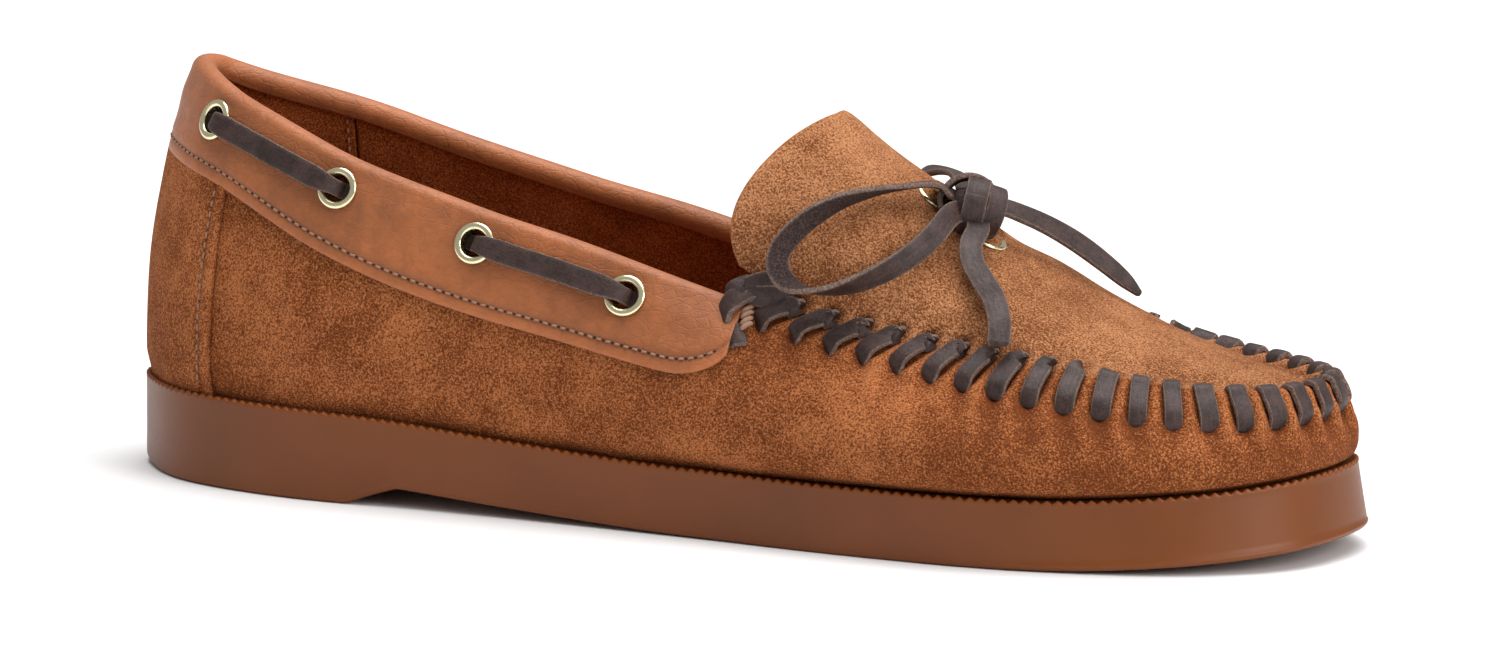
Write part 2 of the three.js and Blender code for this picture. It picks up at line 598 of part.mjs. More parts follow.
// Turns each stop's face square to the path, keeping it as near as it can to the way it was given.
function tidyFrames(stops) {
  return stops.map((stop, i) => {
    const before = stops[Math.max(i - 1, 0)].at;
    const after = stops[Math.min(i + 1, stops.length - 1)].at;
    const along = after.clone().sub(before).normalize();
    const across = stop.across.clone().addScaledVector(along, -stop.across.dot(along)).normalize();
    const up = new THREE.Vector3().crossVectors(across, along).normalize();
    return { ...stop, across, up };
  });
}

// ---- Collar lace --------------------------------------------------------------------------------
// It runs in the tunnel, and shows outside between each pair of eyelets.
const RUN_INSIDE = LINING_OFF + 0.25 + LACE_THICKNESS / 2;
const RUN_OUTSIDE = FACE + GAP + LACE_THICKNESS / 2;
const OVER_FLANGE = FACE + 1 + LACE_THICKNESS / 2; // where it climbs over an eyelet's rim
const LACE_END_U = 0.256;
const perMm = 1 / outlineCurve.getLength();
// Steps through a hole, from the tunnel side to the outside: [distance, offset, width].
const THROUGH = [
  [5.5, RUN_INSIDE, LACE_WIDTH], [2.4, RUN_INSIDE, LACE_WIDTH_IN_HOLE], [0.7, -0.2, LACE_WIDTH_IN_HOLE],
  [0, (FACE + LEAF_BACK) / 2, LACE_WIDTH_IN_HOLE], [-0.8, 2.2, LACE_WIDTH_IN_HOLE],
  [-2.4, OVER_FLANGE, 0.5 * (LACE_WIDTH + LACE_WIDTH_IN_HOLE)], [-5.2, OVER_FLANGE - 0.1, LACE_WIDTH],
  [-9, RUN_OUTSIDE, LACE_WIDTH],
];
function collarLace() {
  const [first, second, third, fourth] = COLLAR_EYELETS;
  const stops = [];
  const stop = (u, off, width) => {
    const s = eyeletS(u);
    const { up, out } = wallFrame(u, s);
    stops.push({ at: onWall(u, s, off), up: out, across: up, width, thick: LACE_THICKNESS });
  };
  // Distances grow towards the toe when side is 1, and towards the heel when it is -1.
  const through = (u, side, outward) => {
    const steps = outward ? THROUGH : [...THROUGH].reverse();
    steps.forEach(([d, off, width]) => stop(u + d * side * perMm, off, width));
  };
  const run = (from, to, off, n) => spanU(from, to, n).forEach((u) => stop(u, off, LACE_WIDTH));
  const half = (sign) => {
    const eyelets = sign > 0 ? [fourth, third, second, first] : [-first, -second, -third, -fourth];
    const leg = (a, b) => {
      through(a, 1, true);
      run(a - 11 * perMm, b + 11 * perMm, RUN_OUTSIDE, 4);
      through(b, -1, false);
    };
    leg(eyelets[0], eyelets[1]);
    run(eyelets[1] - 8 * perMm, eyelets[2] + 8 * perMm, RUN_INSIDE, 5);
    leg(eyelets[2], eyelets[3]);
  };
  run(LACE_END_U, fourth + 8 * perMm, RUN_INSIDE, 3);
  half(1);
  run(first - 8 * perMm, -first + 8 * perMm, RUN_INSIDE, 11);
  half(-1);
  run(-fourth - 8 * perMm, -LACE_END_U, RUN_INSIDE, 3);
  return strap(tidyFrames(stops));
}

// ---- Throat stitches ----------------------------------------------------------------------------
const LASHING_WIDTH = 4.3;
// Two heavy spans on each side tie the end of the collar to the corner of the apron.
const THROAT_SPANS = [
  { wall: [0.2615, 0.9], over: [0.2675, 2.9], apron: [0.915, 0.88] },
  { wall: [0.2615, 0.78], over: [0.2735, 1.9], apron: [0.885, 0.92] },
];
function throatLashing(side) {
  const place = (u) => (side < 0 ? u : 1 - u);
  const lift = GAP + WHIP_THICKNESS / 2;
  const spans = THROAT_SPANS.map((span) => {
    const [u0, s0] = span.wall;
    const [u1, rise] = span.over;
    const [v2, t2] = span.apron;
    const start = onWall(place(u0), s0, FACE + lift);
    const top = onWall(place(u1), 1, FACE + lift + 0.4);
    top.z += rise;
    const end = onApron(v2, side * t2, lift + 1.4);
    const over = new THREE.Vector3(0, side * 0.6, 0.8);
    const ups = [wallFrame(place(u0), s0).out, over, apronOut(v2, side * t2)];
    const curve = new THREE.CatmullRomCurve3([start, top, end]);
    return toSolid(ribbon(curve, ups, 8, LASHING_WIDTH, WHIP_THICKNESS));
  });
  return toGeometry(spans[0].add(spans[1]));
}
// A strap along a curve, its face turned through the given directions on the way.
function ribbon(curve, ups, count, width, thick, taper = 0) {
  const turns = new THREE.CatmullRomCurve3(ups);
  const stops = range(count, (i) => {
    const k = i / (count - 1);
    const up = turns.getPoint(k).normalize();
    const along = curve.getTangent(k);
    const across = new THREE.Vector3().crossVectors(along, up).normalize();
    const point = 1 - taper * smooth(0.75, 1, k);
    return { at: curve.getPoint(k), up, across, width: width * point, thick };
  });
  return strap(tidyFrames(stops));
}

// ---- Bow ----------------------------------------------------------------------------------------
const KNOT = new THREE.Vector3(175.5, -2, 64.6);
const KNOT_RADII = [4.6, 5, 3.8];
const KNOT_TILT = 0.55;
const vector = ([x, y, z]) => new THREE.Vector3(x, y, z);
// The bow's points are given for a shoe whose apron eyelets lie either side of BOW_HOME, and move with them.
const BOW_HOME = new THREE.Vector3(172.9, -1.2, 59.7);
const apronMiddle = APRON_EYELETS.map((v) => apronSpot(v)[0]).reduce((a, b) => a.add(b)).multiplyScalar(0.5);
const bowShift = apronMiddle.sub(BOW_HOME);
const LACE_CLIMB = 4; // height of the knot's underside above the apron
const LACE_RISE = 2.6;
const LACE_SAG = 0.4; // how far the lace hangs below the grommets' backs
// The standing part goes down one apron eyelet, along underneath and up the other.
function bowKnot() {
  const knot = new THREE.SphereGeometry(1, 16, 10).scale(...KNOT_RADII).rotateY(KNOT_TILT);
  const [rear, front] = APRON_EYELETS;
  const below = -(APRON + APRON_EYELET_ROOM + GAP + LACE_THICKNESS / 2 + LACE_SAG);
  const perV = 0.0078; // share of the apron's length in one millimetre there
  // Steps from the knot down through an eyelet: [distance towards the other eyelet in mm, height].
  const down = [[3.6, LACE_CLIMB], [1.2, LACE_RISE], [0, 1], [-0.2, -APRON / 2], [0, below + LACE_SAG],
    [1.8, below]];
  const rearLeg = down.map(([d, off]) => [rear - d * perV, off]);
  const frontLeg = down.map(([d, off]) => [front + d * perV, off]).reverse();
  const walk = [...rearLeg, [(rear + front) / 2, below], ...frontLeg];
  const stops = walk.map(([v, off]) => ({
    at: onApron(v, APRON_EYELET_T, off),
    up: apronOut(v, APRON_EYELET_T),
    across: new THREE.Vector3(0, 1, 0),
    width: LACE_WIDTH_IN_HOLE,
    thick: LACE_THICKNESS,
  }));
  const standing = toSolid(strap(tidyFrames(stops)));
  const centre = KNOT.clone().add(bowShift);
  return toGeometry(toSolid(orient(knot.toNonIndexed()).translate(...centre)).add(standing));
}
// Points are the middle of the lace, ups the way its grain face looks along the path.
const BOW = {
  bow_loop_lateral: {
    points: [[170, -6, 67.2], [165, -13, 67.4], [160.5, -18, 66.7], [156, -22.2, 65.2], [152, -25.8, 62.6],
      [149, -29, 59.3], [147.4, -31.4, 56], [147.8, -32.7, 53], [150, -33.4, 50.6], [153.3, -33, 49.5],
      [158, -31.8, 49.6], [163.5, -30.2, 51.2], [170, -26, 54.8], [173.8, -19.5, 58.8], [174.8, -10.8, 62.4]],
    ups: [[0.1, -0.3, 0.95], [0, -0.4, 0.9], [-0.8, -0.3, 0.5], [-0.7, -0.5, -0.5], [0.1, -0.8, -0.6],
      [0.3, -0.9, -0.3], [0.5, -0.8, 0.2]],
    count: 26,
  },
  bow_loop_medial: {
    points: [[172, 3.6, 67.6], [169, 8.5, 68.4], [165, 13.5, 68.4], [160.5, 18, 67], [155.5, 23, 64.4],
      [151.5, 28, 60.4], [149.6, 31.6, 56.4], [150.6, 33, 53.4], [154, 32.4, 52.4], [159.5, 29.8, 54],
      [165.5, 24.5, 57.6], [170.5, 17.5, 61], [174, 9, 63.6]],
    ups: [[0.1, 0.3, 0.95], [0, 0.4, 0.9], [-0.8, 0.3, 0.5], [-0.7, 0.5, -0.5], [0.1, 0.8, -0.6],
      [0.3, 0.9, -0.3], [0.4, 0.8, 0.4]],
    count: 24,
  },
  bow_tail_lateral: {
    points: [[179.6, -8.6, 59.8], [180, -13.4, 57.4], [181.8, -17.4, 54.8], [185, -20.8, 52.2],
      [188.7, -24, 49], [191.3, -27.6, 45.3], [192.3, -30.8, 41.2]],
    ups: [[0.5, -0.4, 0.8], [0.4, -0.6, 0.7], [0.5, -0.7, 0.5], [0.4, -0.8, 0.4]],
    count: 12,
  },
  bow_tail_medial: {
    points: [[181, 1.2, 62.6], [184.5, 3.8, 61], [188.5, 7, 58.6], [193, 10, 55.4], [197.6, 12.4, 51.6],
      [201.8, 14.2, 47.8], [204.6, 15.2, 45]],
    ups: [[0.4, 0.2, 0.9], [0.4, 0.1, 0.9], [0.5, 0, 0.8], [0.5, 0.1, 0.8]],
    count: 12,
    taper: 0.7,
  },
};

const part = new THREE.Group();
part.name = "moccasin";
part.position.x = -HEEL_CENTRE;
function add(name, geometry, color, roughness, metalness = 0) {
  const mesh = new THREE.Mesh(geometry, new THREE.MeshStandardMaterial({ color, roughness, metalness }));
  mesh.name = name;
  part.add(mesh);
}
add("outsole", outsole(), 0x7b4a30, 0.55);
add("sole_filler", soleFiller(), 0x8a7a66, 0.95);
add("shank", shankStrip(0), 0x9a9c9e, 0.35, 1);
add("insole_board", bottomPiece(INSIDE, levels.board, BOARD), 0xa08a6a, 0.9);
add("footbed", bottomPiece(INSIDE, levels.footbed, FOOTBED), 0xd8c7a6, 0.9);
add("sock_liner", bottomPiece(INSIDE, levels.sock, SOCK), 0x6b3a1c, 0.9);
add("moccasin_wrap", wrapHide(), 0x9a5a2c, 0.95);
add("heel_patch", heelPatch(), 0x95562a, 0.95);
add("heel_stiffener", heelStiffener(), 0xb59a78, 0.8);
const HEEL_LINING_U = 0.1;
add("heel_lining", lining(-HEEL_LINING_U, HEEL_LINING_U, 17), 0x6b3416, 0.95);
add("quarter_lining_lateral", lining(HEEL_LINING_U + 0.0006, 0.262, 15), 0x6b3416, 0.95);
add("quarter_lining_medial", lining(0.7395, 0.9994 - HEEL_LINING_U, 15), 0x6b3416, 0.95);
add("collar_band", collarBand(), 0xa9673f, 0.5);
add("apron", apronHide(), 0xa0602f, 0.95);
add("tongue", tongue(), 0xa0602f, 0.95);
const LACE = [0x33282a, 0.6];
add("toe_lacing", strap(whipPath()), ...LACE);
add("throat_lashing_lateral", throatLashing(-1), ...LACE);
add("throat_lashing_medial", throatLashing(1), ...LACE);
add("collar_lace", collarLace(), ...LACE);
add("bow_knot", bowKnot(), ...LACE);
for (const [name, { points, ups, count, taper }] of Object.entries(BOW)) {
  const curve = new THREE.CatmullRomCurve3(points.map((point) => vector(point).add(bowShift)));
  add(name, ribbon(curve, ups.map(vector), count, LACE_WIDTH, LACE_THICKNESS, taper), ...LACE);
}
const BRASS = [0xd9cfa0, 0.25, 1];
for (const side of ["lateral", "medial"]) {
  COLLAR_EYELETS.forEach((u, i) => {
    const spot = collarSpot(side === "lateral" ? u : 1 - u);
    add(`collar_eyelet_${side}_${i + 1}`, eyelet(...spot, COLLAR, 0.3), ...BRASS);
  });
}
["rear", "front"].forEach((name, i) => {
  add(`apron_eyelet_${name}`, eyelet(...apronSpot(APRON_EYELETS[i]), APRON, APRON_EYELET_ROOM), ...BRASS);
});
export default part;
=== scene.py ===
"""A moccasin: suede wrap and apron whip-stitched round the toe, laced collar, bow, gum rubber unit sole.

Every piece is a surface worked out from the same shoe last. Lengths inside the shape functions are millimetres,
counted from the back of the upper; to_frame turns them into metres in the part's own frame.
"""

import bmesh
import bpy
import numpy as np
from mathutils import Matrix, Vector


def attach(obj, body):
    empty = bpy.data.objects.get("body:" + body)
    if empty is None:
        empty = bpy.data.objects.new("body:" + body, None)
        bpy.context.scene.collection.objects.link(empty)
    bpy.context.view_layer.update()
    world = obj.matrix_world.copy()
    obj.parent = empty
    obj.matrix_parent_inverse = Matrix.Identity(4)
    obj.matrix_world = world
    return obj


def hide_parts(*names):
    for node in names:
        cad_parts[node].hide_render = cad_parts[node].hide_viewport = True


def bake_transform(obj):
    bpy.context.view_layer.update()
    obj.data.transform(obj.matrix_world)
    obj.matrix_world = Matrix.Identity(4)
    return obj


bl_info = {
    "name": "Moccasin",
    "version": (1, 0, 0),
    "blender": (4, 5, 0),
    "location": "3D View > Sidebar > Moccasin",
    "description": "Builds a suede moccasin with whip stitching, a laced collar and a gum rubber sole",
    "category": "Add Mesh",
}

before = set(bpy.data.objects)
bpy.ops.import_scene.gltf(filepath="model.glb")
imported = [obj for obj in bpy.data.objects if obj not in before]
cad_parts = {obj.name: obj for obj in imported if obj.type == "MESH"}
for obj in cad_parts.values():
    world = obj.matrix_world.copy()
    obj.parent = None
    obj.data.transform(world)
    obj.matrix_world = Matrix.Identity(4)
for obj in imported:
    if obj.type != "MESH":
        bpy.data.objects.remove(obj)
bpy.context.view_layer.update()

# ---- Sizes, in millimetres unless they are shares ------------------------------------------------
# _U is a share of the way round the outline, _T a share of the way from the middle of the apron to its seam.
UPPER_LENGTH, BALL_WIDTH, HEEL_CENTRE = 250.0, 82.0, 34.0
HEEL_TOP, THROAT_TOP, TOE_SEAM, APRON_PEAK = 82.9, 46.0, 32.0, 79.0
FOREFOOT_SOLE, HEEL_SOLE, TOE_SPRING = 13.2, 18.1, 4.4
HEEL_LENGTH, HEEL_BREAST, HEEL_BACK_ROUND = 57.0, 11.0, 1.2
WELT_LEDGE, TOE_FLARE = 1.6, 2.2
WRAP, APRON, PATCH, COLLAR, LINING, GAP = 1.4, 1.4, 1.1, 0.8, 0.75, 0.3
TUNNEL, TURNED_DOWN, COLLAR_OVERLAP = 2.35, 1.0, 0.1
EYELET_HOLE, EYELET_FLANGE, EYELET_DROP = 5.4, 8.4, 7.2
COLLAR_EYELETS = (0.05, 0.116, 0.17, 0.228)
APRON_EYELETS, APRON_EYELET_T = (0.774, 0.678), -0.03
LACE_WIDTH, LACE_THICK, LACE_WIDTH_IN_HOLE = 4.5, 1.3, 3.2
WHIP_WIDTH, WHIP_THICK, WHIP_COUNT, WHIP_FROM = 3.7, 1.35, 36, 0.27515
# Shares of the outline: the seams beside the heel lining, half their gap, their stitches, the linings' front ends.
LINING_SEAM, LINING_GAP, LINING_ROW, LINING_ENDS = 0.08, 0.0006, 0.0027, (0.262, 0.7395)
STIFFENER, BOARD, FOOTBED, SOCK = 1.1, 1.6, 3, 1.0
SOCK_CLEARANCE = 1.8  # between the sock liner and the linings round it
COLLAR_ROW, PATCH_ROW = 2.2, 2.75  # the stitch rows' distances from the edges of the collar and the heel patch
SEAM_PACE = 0.85  # power that spreads the apron's lines along the seam, closer together at the throat
WHIP_RISE, WHIP_RISE_THROAT, WHIP_LEAN, WHIP_INSIDE = 0.73, 0.17, 0.0105, 1.5
WHIP_PITCH, WHIP_SPACING = (1 - 2 * WHIP_FROM) / (WHIP_COUNT - 1), 7.4  # share of the outline, and millimetres
THROAT_U, PATCH_U = 0.272, 0.066
TONGUE_FLARE, TONGUE_FORWARD, TONGUE_FULLNESS = 13.0, 4.5, 0.25
FACE = GAP + PATCH
LINING_OFF = FACE - COLLAR - TUNNEL
ROLL = (FACE - (LINING_OFF - LINING - GAP - COLLAR)) / 2

# Plan outline of the upper: share of the length, share of the ball width; heel, lateral, toe, medial.
OUTLINE = np.array([
    (0.0064, 0), (0.024, -0.14), (0.08, -0.296), (0.18, -0.384), (0.3, -0.393), (0.42, -0.412),
    (0.54, -0.444), (0.66, -0.485), (0.768, -0.493), (0.86, -0.437), (0.932, -0.339), (0.984, -0.183),
    (1.002, 0.037), (0.988, 0.195), (0.936, 0.356), (0.856, 0.468), (0.76, 0.506), (0.66, 0.48),
    (0.54, 0.412), (0.42, 0.366), (0.3, 0.354), (0.18, 0.332), (0.08, 0.259), (0.024, 0.152)])
HEEL_RISE = ((0, 1), (0.12, 0.98), (0.24, 0.86), (0.36, 0.43), (0.48, 0.1), (0.6, 0))
TOE_RISE = ((0.72, 0), (0.84, 0.09), (0.94, 0.48), (1.02, 1))
TOPLINE = ((0, 1), (0.048, 0.911), (0.14, 0.756), (0.24, 0.55), (0.34, 0.371), (0.42, 0.252),
           (0.5, 0.108), (0.56, 0))
SEAM = ((0.56, 1), (0.64, 0.65), (0.74, 0.41), (0.84, 0.236), (0.928, 0.057), (1.008, 0))
LEAN = ((0, 9.3), (0.08, 11.3), (0.18, 8.7), (0.3, 5.9), (0.42, 5.4), (0.5, 6.9), (0.58, 9.6),
        (0.68, 12.2), (0.78, 13.2), (0.88, 11.3), (0.95, 7.6), (1.008, 3.2))
SWELL = ((0, 0.6), (0.12, 1), (0.3, 2.1), (0.48, 3.8), (0.6, 5), (0.74, 5.5), (0.88, 4), (1.008, 1.8))
RIDGE = ((0.568, 1), (0.59, 1), (0.6, 0.968), (0.614, 0.909), (0.644, 0.789), (0.713, 0.53),
         (0.747, 0.445), (0.783, 0.335), (0.819, 0.245), (0.842, 0.195), (0.888, 0.12), (0.936, 0.05),
         (0.985, 0.01))
COLLAR_LOW = ((0, 0.71), (0.08, 0.71), (0.12, 0.69), (0.2, 0.62), (0.28, 0.565), (0.4, 0.54),
              (0.5, 0.53), (0.52, 0.54), (0.54, 0.59), (0.555, 0.68), (0.565, 0.82), (0.568, 0.88))


# ---- Small maths ---------------------------------------------------------------------------------
def spline(table, at):
    """Cubic Hermite curve through (x, y) knots, each slope that of the chord between its neighbours."""
    x, y = np.array(table, float).T
    slope = np.gradient(y, x) if len(x) < 3 else np.r_[
        (y[1] - y[0]) / (x[1] - x[0]), (y[2:] - y[:-2]) / (x[2:] - x[:-2]), (y[-1] - y[-2]) / (x[-1] - x[-2])]
    at = np.clip(at, x[0], x[-1])
    i = np.clip(np.searchsorted(x, at, side="right") - 1, 0, len(x) - 2)
    h = x[i + 1] - x[i]
    t = (at - x[i]) / h
    rise = (3 - 2 * t) * t * t
    return y[i] * (1 - rise) + y[i + 1] * rise + h * t * (1 - t) * (slope[i] * (1 - t) - slope[i + 1] * t)


def ease(a, b, x):
    """0 below a, 1 above b, and a smooth S between."""
    t = np.clip((np.asarray(x, float) - a) / (b - a), 0, 1)
    return t * t * (3 - 2 * t)


def mix(a, b, t):
    return a + (b - a) * t


def unit(v):
    return v / np.maximum(np.linalg.norm(v, axis=-1, keepdims=True), 1e-12)


def hill(x, width):
    """A bell of height 1 and the given half width."""
    return np.exp(-(x / width) ** 2)


def ripple(a, b, seed):
    """A slow, uneven swell between -1 and 1: four sine waves across each other with unrelated lengths."""
    draw = np.random.default_rng(seed)
    total = 0
    for _ in range(4):
        ka, kb, shift = draw.uniform(0.6, 2.2), draw.uniform(0.6, 2.2), draw.uniform(0, 2 * np.pi)
        total = total + np.sin(ka * a + kb * b * draw.choice([-1, 1]) + shift)
    return total / 4


def to_frame(points):
    """Millimetres from the back of the upper, to metres in the part's own frame."""
    return (np.asarray(points, float) - (HEEL_CENTRE, 0, 0)) / 1000


# ---- The last: one surface that every soft wall is an offset of ----------------------------------
def outline_points(samples=8000):
    """Closed uniform Catmull-Rom curve through the outline's knots, resampled to equal arc lengths."""
    knot = OUTLINE * (UPPER_LENGTH, BALL_WIDTH)
    t = np.linspace(0, 1, 400, endpoint=False)[None, :, None]
    p0, p1, p2, p3 = (np.roll(knot, -k, axis=0)[:, None, :] for k in (-1, 0, 1, 2))
    curve = 0.5 * (2 * p1 + (p2 - p0) * t + (2 * p0 - 5 * p1 + 4 * p2 - p3) * t ** 2
                   + (3 * p1 - p0 - 3 * p2 + p3) * t ** 3)
    curve = curve.reshape(-1, 2)
    curve = np.vstack([curve, curve[:1]])
    far = np.r_[0, np.cumsum(np.linalg.norm(np.diff(curve, axis=0), axis=1))]
    even = np.linspace(0, far[-1], samples + 1)
    return np.stack([np.interp(even, far, curve[:, k]) for k in (0, 1)], -1), far[-1]


OUTLINE_FINE, GIRTH = outline_points()
PER_MM = 1 / GIRTH  # share of the outline in one millimetre


def outline_at(u):
    place = np.mod(u, 1) * (len(OUTLINE_FINE) - 1)
    i = np.minimum(place.astype(int), len(OUTLINE_FINE) - 2)
    part = (place - i)[..., None]
    return OUTLINE_FINE[i] * (1 - part) + OUTLINE_FINE[i + 1] * part


def outline(u):
    """Plan point at the share u round from the heel by the lateral side, and its outward direction."""
    u = np.asarray(u, float)
    along = unit(outline_at(u + 0.004) - outline_at(u - 0.004))
    return outline_at(u), np.stack([along[..., 1], -along[..., 0]], -1)


def sole_top(x):
    f = x / UPPER_LENGTH
    return FOREFOOT_SOLE + (HEEL_SOLE - FOREFOOT_SOLE) * spline(HEEL_RISE, f) + TOE_SPRING * spline(TOE_RISE, f)


def sole_bottom(x):
    """Flat under the heel and the ball, stepped up at the heel breast, and lifted a little at the back."""
    waist = np.maximum(sole_top(x) - FOREFOOT_SOLE, 0) * np.clip((x - HEEL_LENGTH) / HEEL_BREAST, 0, 1)
    return np.where(x < HEEL_LENGTH, HEEL_BACK_ROUND * (1 - ease(-2, 12, x)), waist)


def top_edge(x):
    f = x / UPPER_LENGTH
    return np.where(f < TOPLINE[-1][0], mix(THROAT_TOP, HEEL_TOP, spline(TOPLINE, f)),
                    mix(TOE_SEAM, THROAT_TOP, spline(SEAM, f)))


def wall(u, s):
    """Outer face of the upper: the plan outline lifted from the sole (s 0) to the top edge (s 1),
    leaning in by a power of s and swelling out by half a sine."""
    u, s = np.broadcast_arrays(np.asarray(u, float), np.asarray(s, float))
    point, out = outline(u)
    x = point[..., 0]
    f = x / UPPER_LENGTH
    rise = np.clip(s, 0, 1) ** 0.8
    inward = spline(LEAN, f) * np.maximum(s, 0) ** 2.2 - spline(SWELL, f) * np.sin(np.pi * rise)
    plan = point - out * inward[..., None]
    return np.concatenate([plan, mix(sole_top(x), top_edge(x), s)[..., None]], -1)


def wall_frame(u, s):
    """Directions up the wall, along it and out of it."""
    u, s = np.broadcast_arrays(np.asarray(u, float), np.asarray(s, float))
    up = unit(wall(u, np.minimum(s + 0.01, 1)) - wall(u, s - 0.02))
    along = unit(wall(u + 0.002, s) - wall(u - 0.002, s))
    return up, along, unit(np.cross(along, up))


def on_wall(u, s, off):
    u, s, off = np.broadcast_arrays(*(np.asarray(a, float) for a in (u, s, off)))
    return wall(u, s) + wall_frame(u, s)[2] * off[..., None]


def wall_height(u):
    x = outline(u)[0][..., 0]
    return top_edge(x) - sole_top(x)


def apron_face(v, t):
    """The apron: a line across the seam, arched by a power of the cosine up to the ridge.
    v runs from the toe (0) to the rear edge of the tongue (1), t from lateral (-1) to medial (1)."""
    v, t = np.broadcast_arrays(np.asarray(v, float), np.asarray(t, float))
    reach = (0.5 - THROAT_U) * np.maximum(v, 0) ** SEAM_PACE
    a, b = wall(0.5 - reach, 1), wall(0.5 + reach, 1)
    middle = (a + b) / 2
    rear = ease(0.8, 1, v)
    ridge_x = middle[..., 0] + TONGUE_FORWARD * rear
    ridge_z = mix(TOE_SEAM, APRON_PEAK, spline(RIDGE, ridge_x / UPPER_LENGTH))
    arch = t * np.pi / 2
    cosine = np.maximum(np.cos(arch), 0)
    side = np.abs(t)
    point = mix(a, b, ((1 + np.sin(arch)) / 2)[..., None]).copy()
    fullness = 2 - ease(0.15, 0.55, v) - TONGUE_FULLNESS * rear
    point[..., 2] += np.maximum(ridge_z - middle[..., 2], 0) * cosine ** fullness
    point[..., 0] += TONGUE_FORWARD * rear * cosine ** 1.2
    point[..., 0] -= TONGUE_FLARE * rear * side ** 1.2 * (1 - side ** 6)
    return point


def apron_out(v, t):
    across = apron_face(v, np.minimum(t + 0.02, 1)) - apron_face(v, np.maximum(t - 0.02, -1))
    along = apron_face(np.minimum(v + 0.01, 1), t) - apron_face(v - 0.01, t)
    return unit(np.cross(across, along))


def on_apron(v, t, off):
    v, t, off = np.broadcast_arrays(*(np.asarray(a, float) for a in (v, t, off)))
    return apron_face(v, t) + apron_out(v, t) * off[..., None]


def apron_inside(u, distance):
    """Where on the apron a walk square to the seam from each u ends, after a distance along the surface."""
    u = np.asarray(u, float)
    seam = wall(u, 1)
    out = outline(u)[1]
    along = np.stack([out[:, 1], -out[:, 0], 0 * u], -1)
    side = np.where(u < 0.5, -1.0, 1.0)
    start = (np.abs(u - 0.5) / (0.5 - THROAT_U)) ** (1 / SEAM_PACE)
    v_end, t_end, gone = start.copy(), side.copy(), np.zeros_like(u)
    before, done = seam.copy(), np.zeros(len(u), bool)
    for k in range(1, 80):
        t = side * (1 - 0.012 * k)
        low, high = np.maximum(start - 0.1, 0), np.minimum(start + 0.5, 1)
        for _ in range(14):
            v = (low + high) / 2
            ahead = ((apron_face(v, t) - seam) * along).sum(-1) * side < 0
            low, high = np.where(ahead, low, v), np.where(ahead, v, high)
        here = apron_face(high, t)
        gone = gone + np.linalg.norm(here - before, axis=-1)
        new = (gone >= distance) & ~done
        v_end[new], t_end[new] = high[new], t[new]
        done |= new
        before = here
        if done.all():
            break
    return v_end, t_end


def collar_low(u):
    return spline(COLLAR_LOW, outline(u)[0][..., 0] / UPPER_LENGTH)


def eyelet_s(u):
    return 1 - EYELET_DROP / wall_height(u)


# ---- Whip stitches: places shared by the stitches and by the dents they pull ---------------------
WHIP_U = WHIP_FROM + WHIP_PITCH * np.arange(WHIP_COUNT)


def whip_throat(u):
    """0 round the toe, where stitches stand square to the seam, and 1 at the throat, where they lean."""
    return ease(0.04, 0.215, np.abs(u - 0.5))


def whip_low(u):
    return WHIP_RISE + WHIP_RISE_THROAT * whip_throat(u)


def whip_phase(u, lean):
    """Counts stitches along the seam: whole at each stitch. lean is 0 at its lower hole and 1 at the seam."""
    shift = np.where(u < 0.5, 1, -1) * WHIP_LEAN * whip_throat(u) * lean
    return (u - shift - WHIP_FROM) / WHIP_PITCH


def stitched(phase):
    """1 along the whip-stitched stretch, fading out past its first and last stitch."""
    return ease(-1.0, -0.3, phase) * (1 - ease(WHIP_COUNT - 0.7, WHIP_COUNT, phase))


def puff(phase):
    """Leather between two stitches, 0 under a stitch and 1 halfway to the next."""
    return 0.5 - 0.5 * np.cos(2 * np.pi * phase)


def uneven(phase, seed, spread=0.35):
    """A different, steady factor for each gap between stitches."""
    draw = np.random.default_rng(seed).uniform(1 - spread, 1 + spread, WHIP_COUNT + 4)
    return np.interp(phase + 1.5, np.arange(len(draw)), draw)


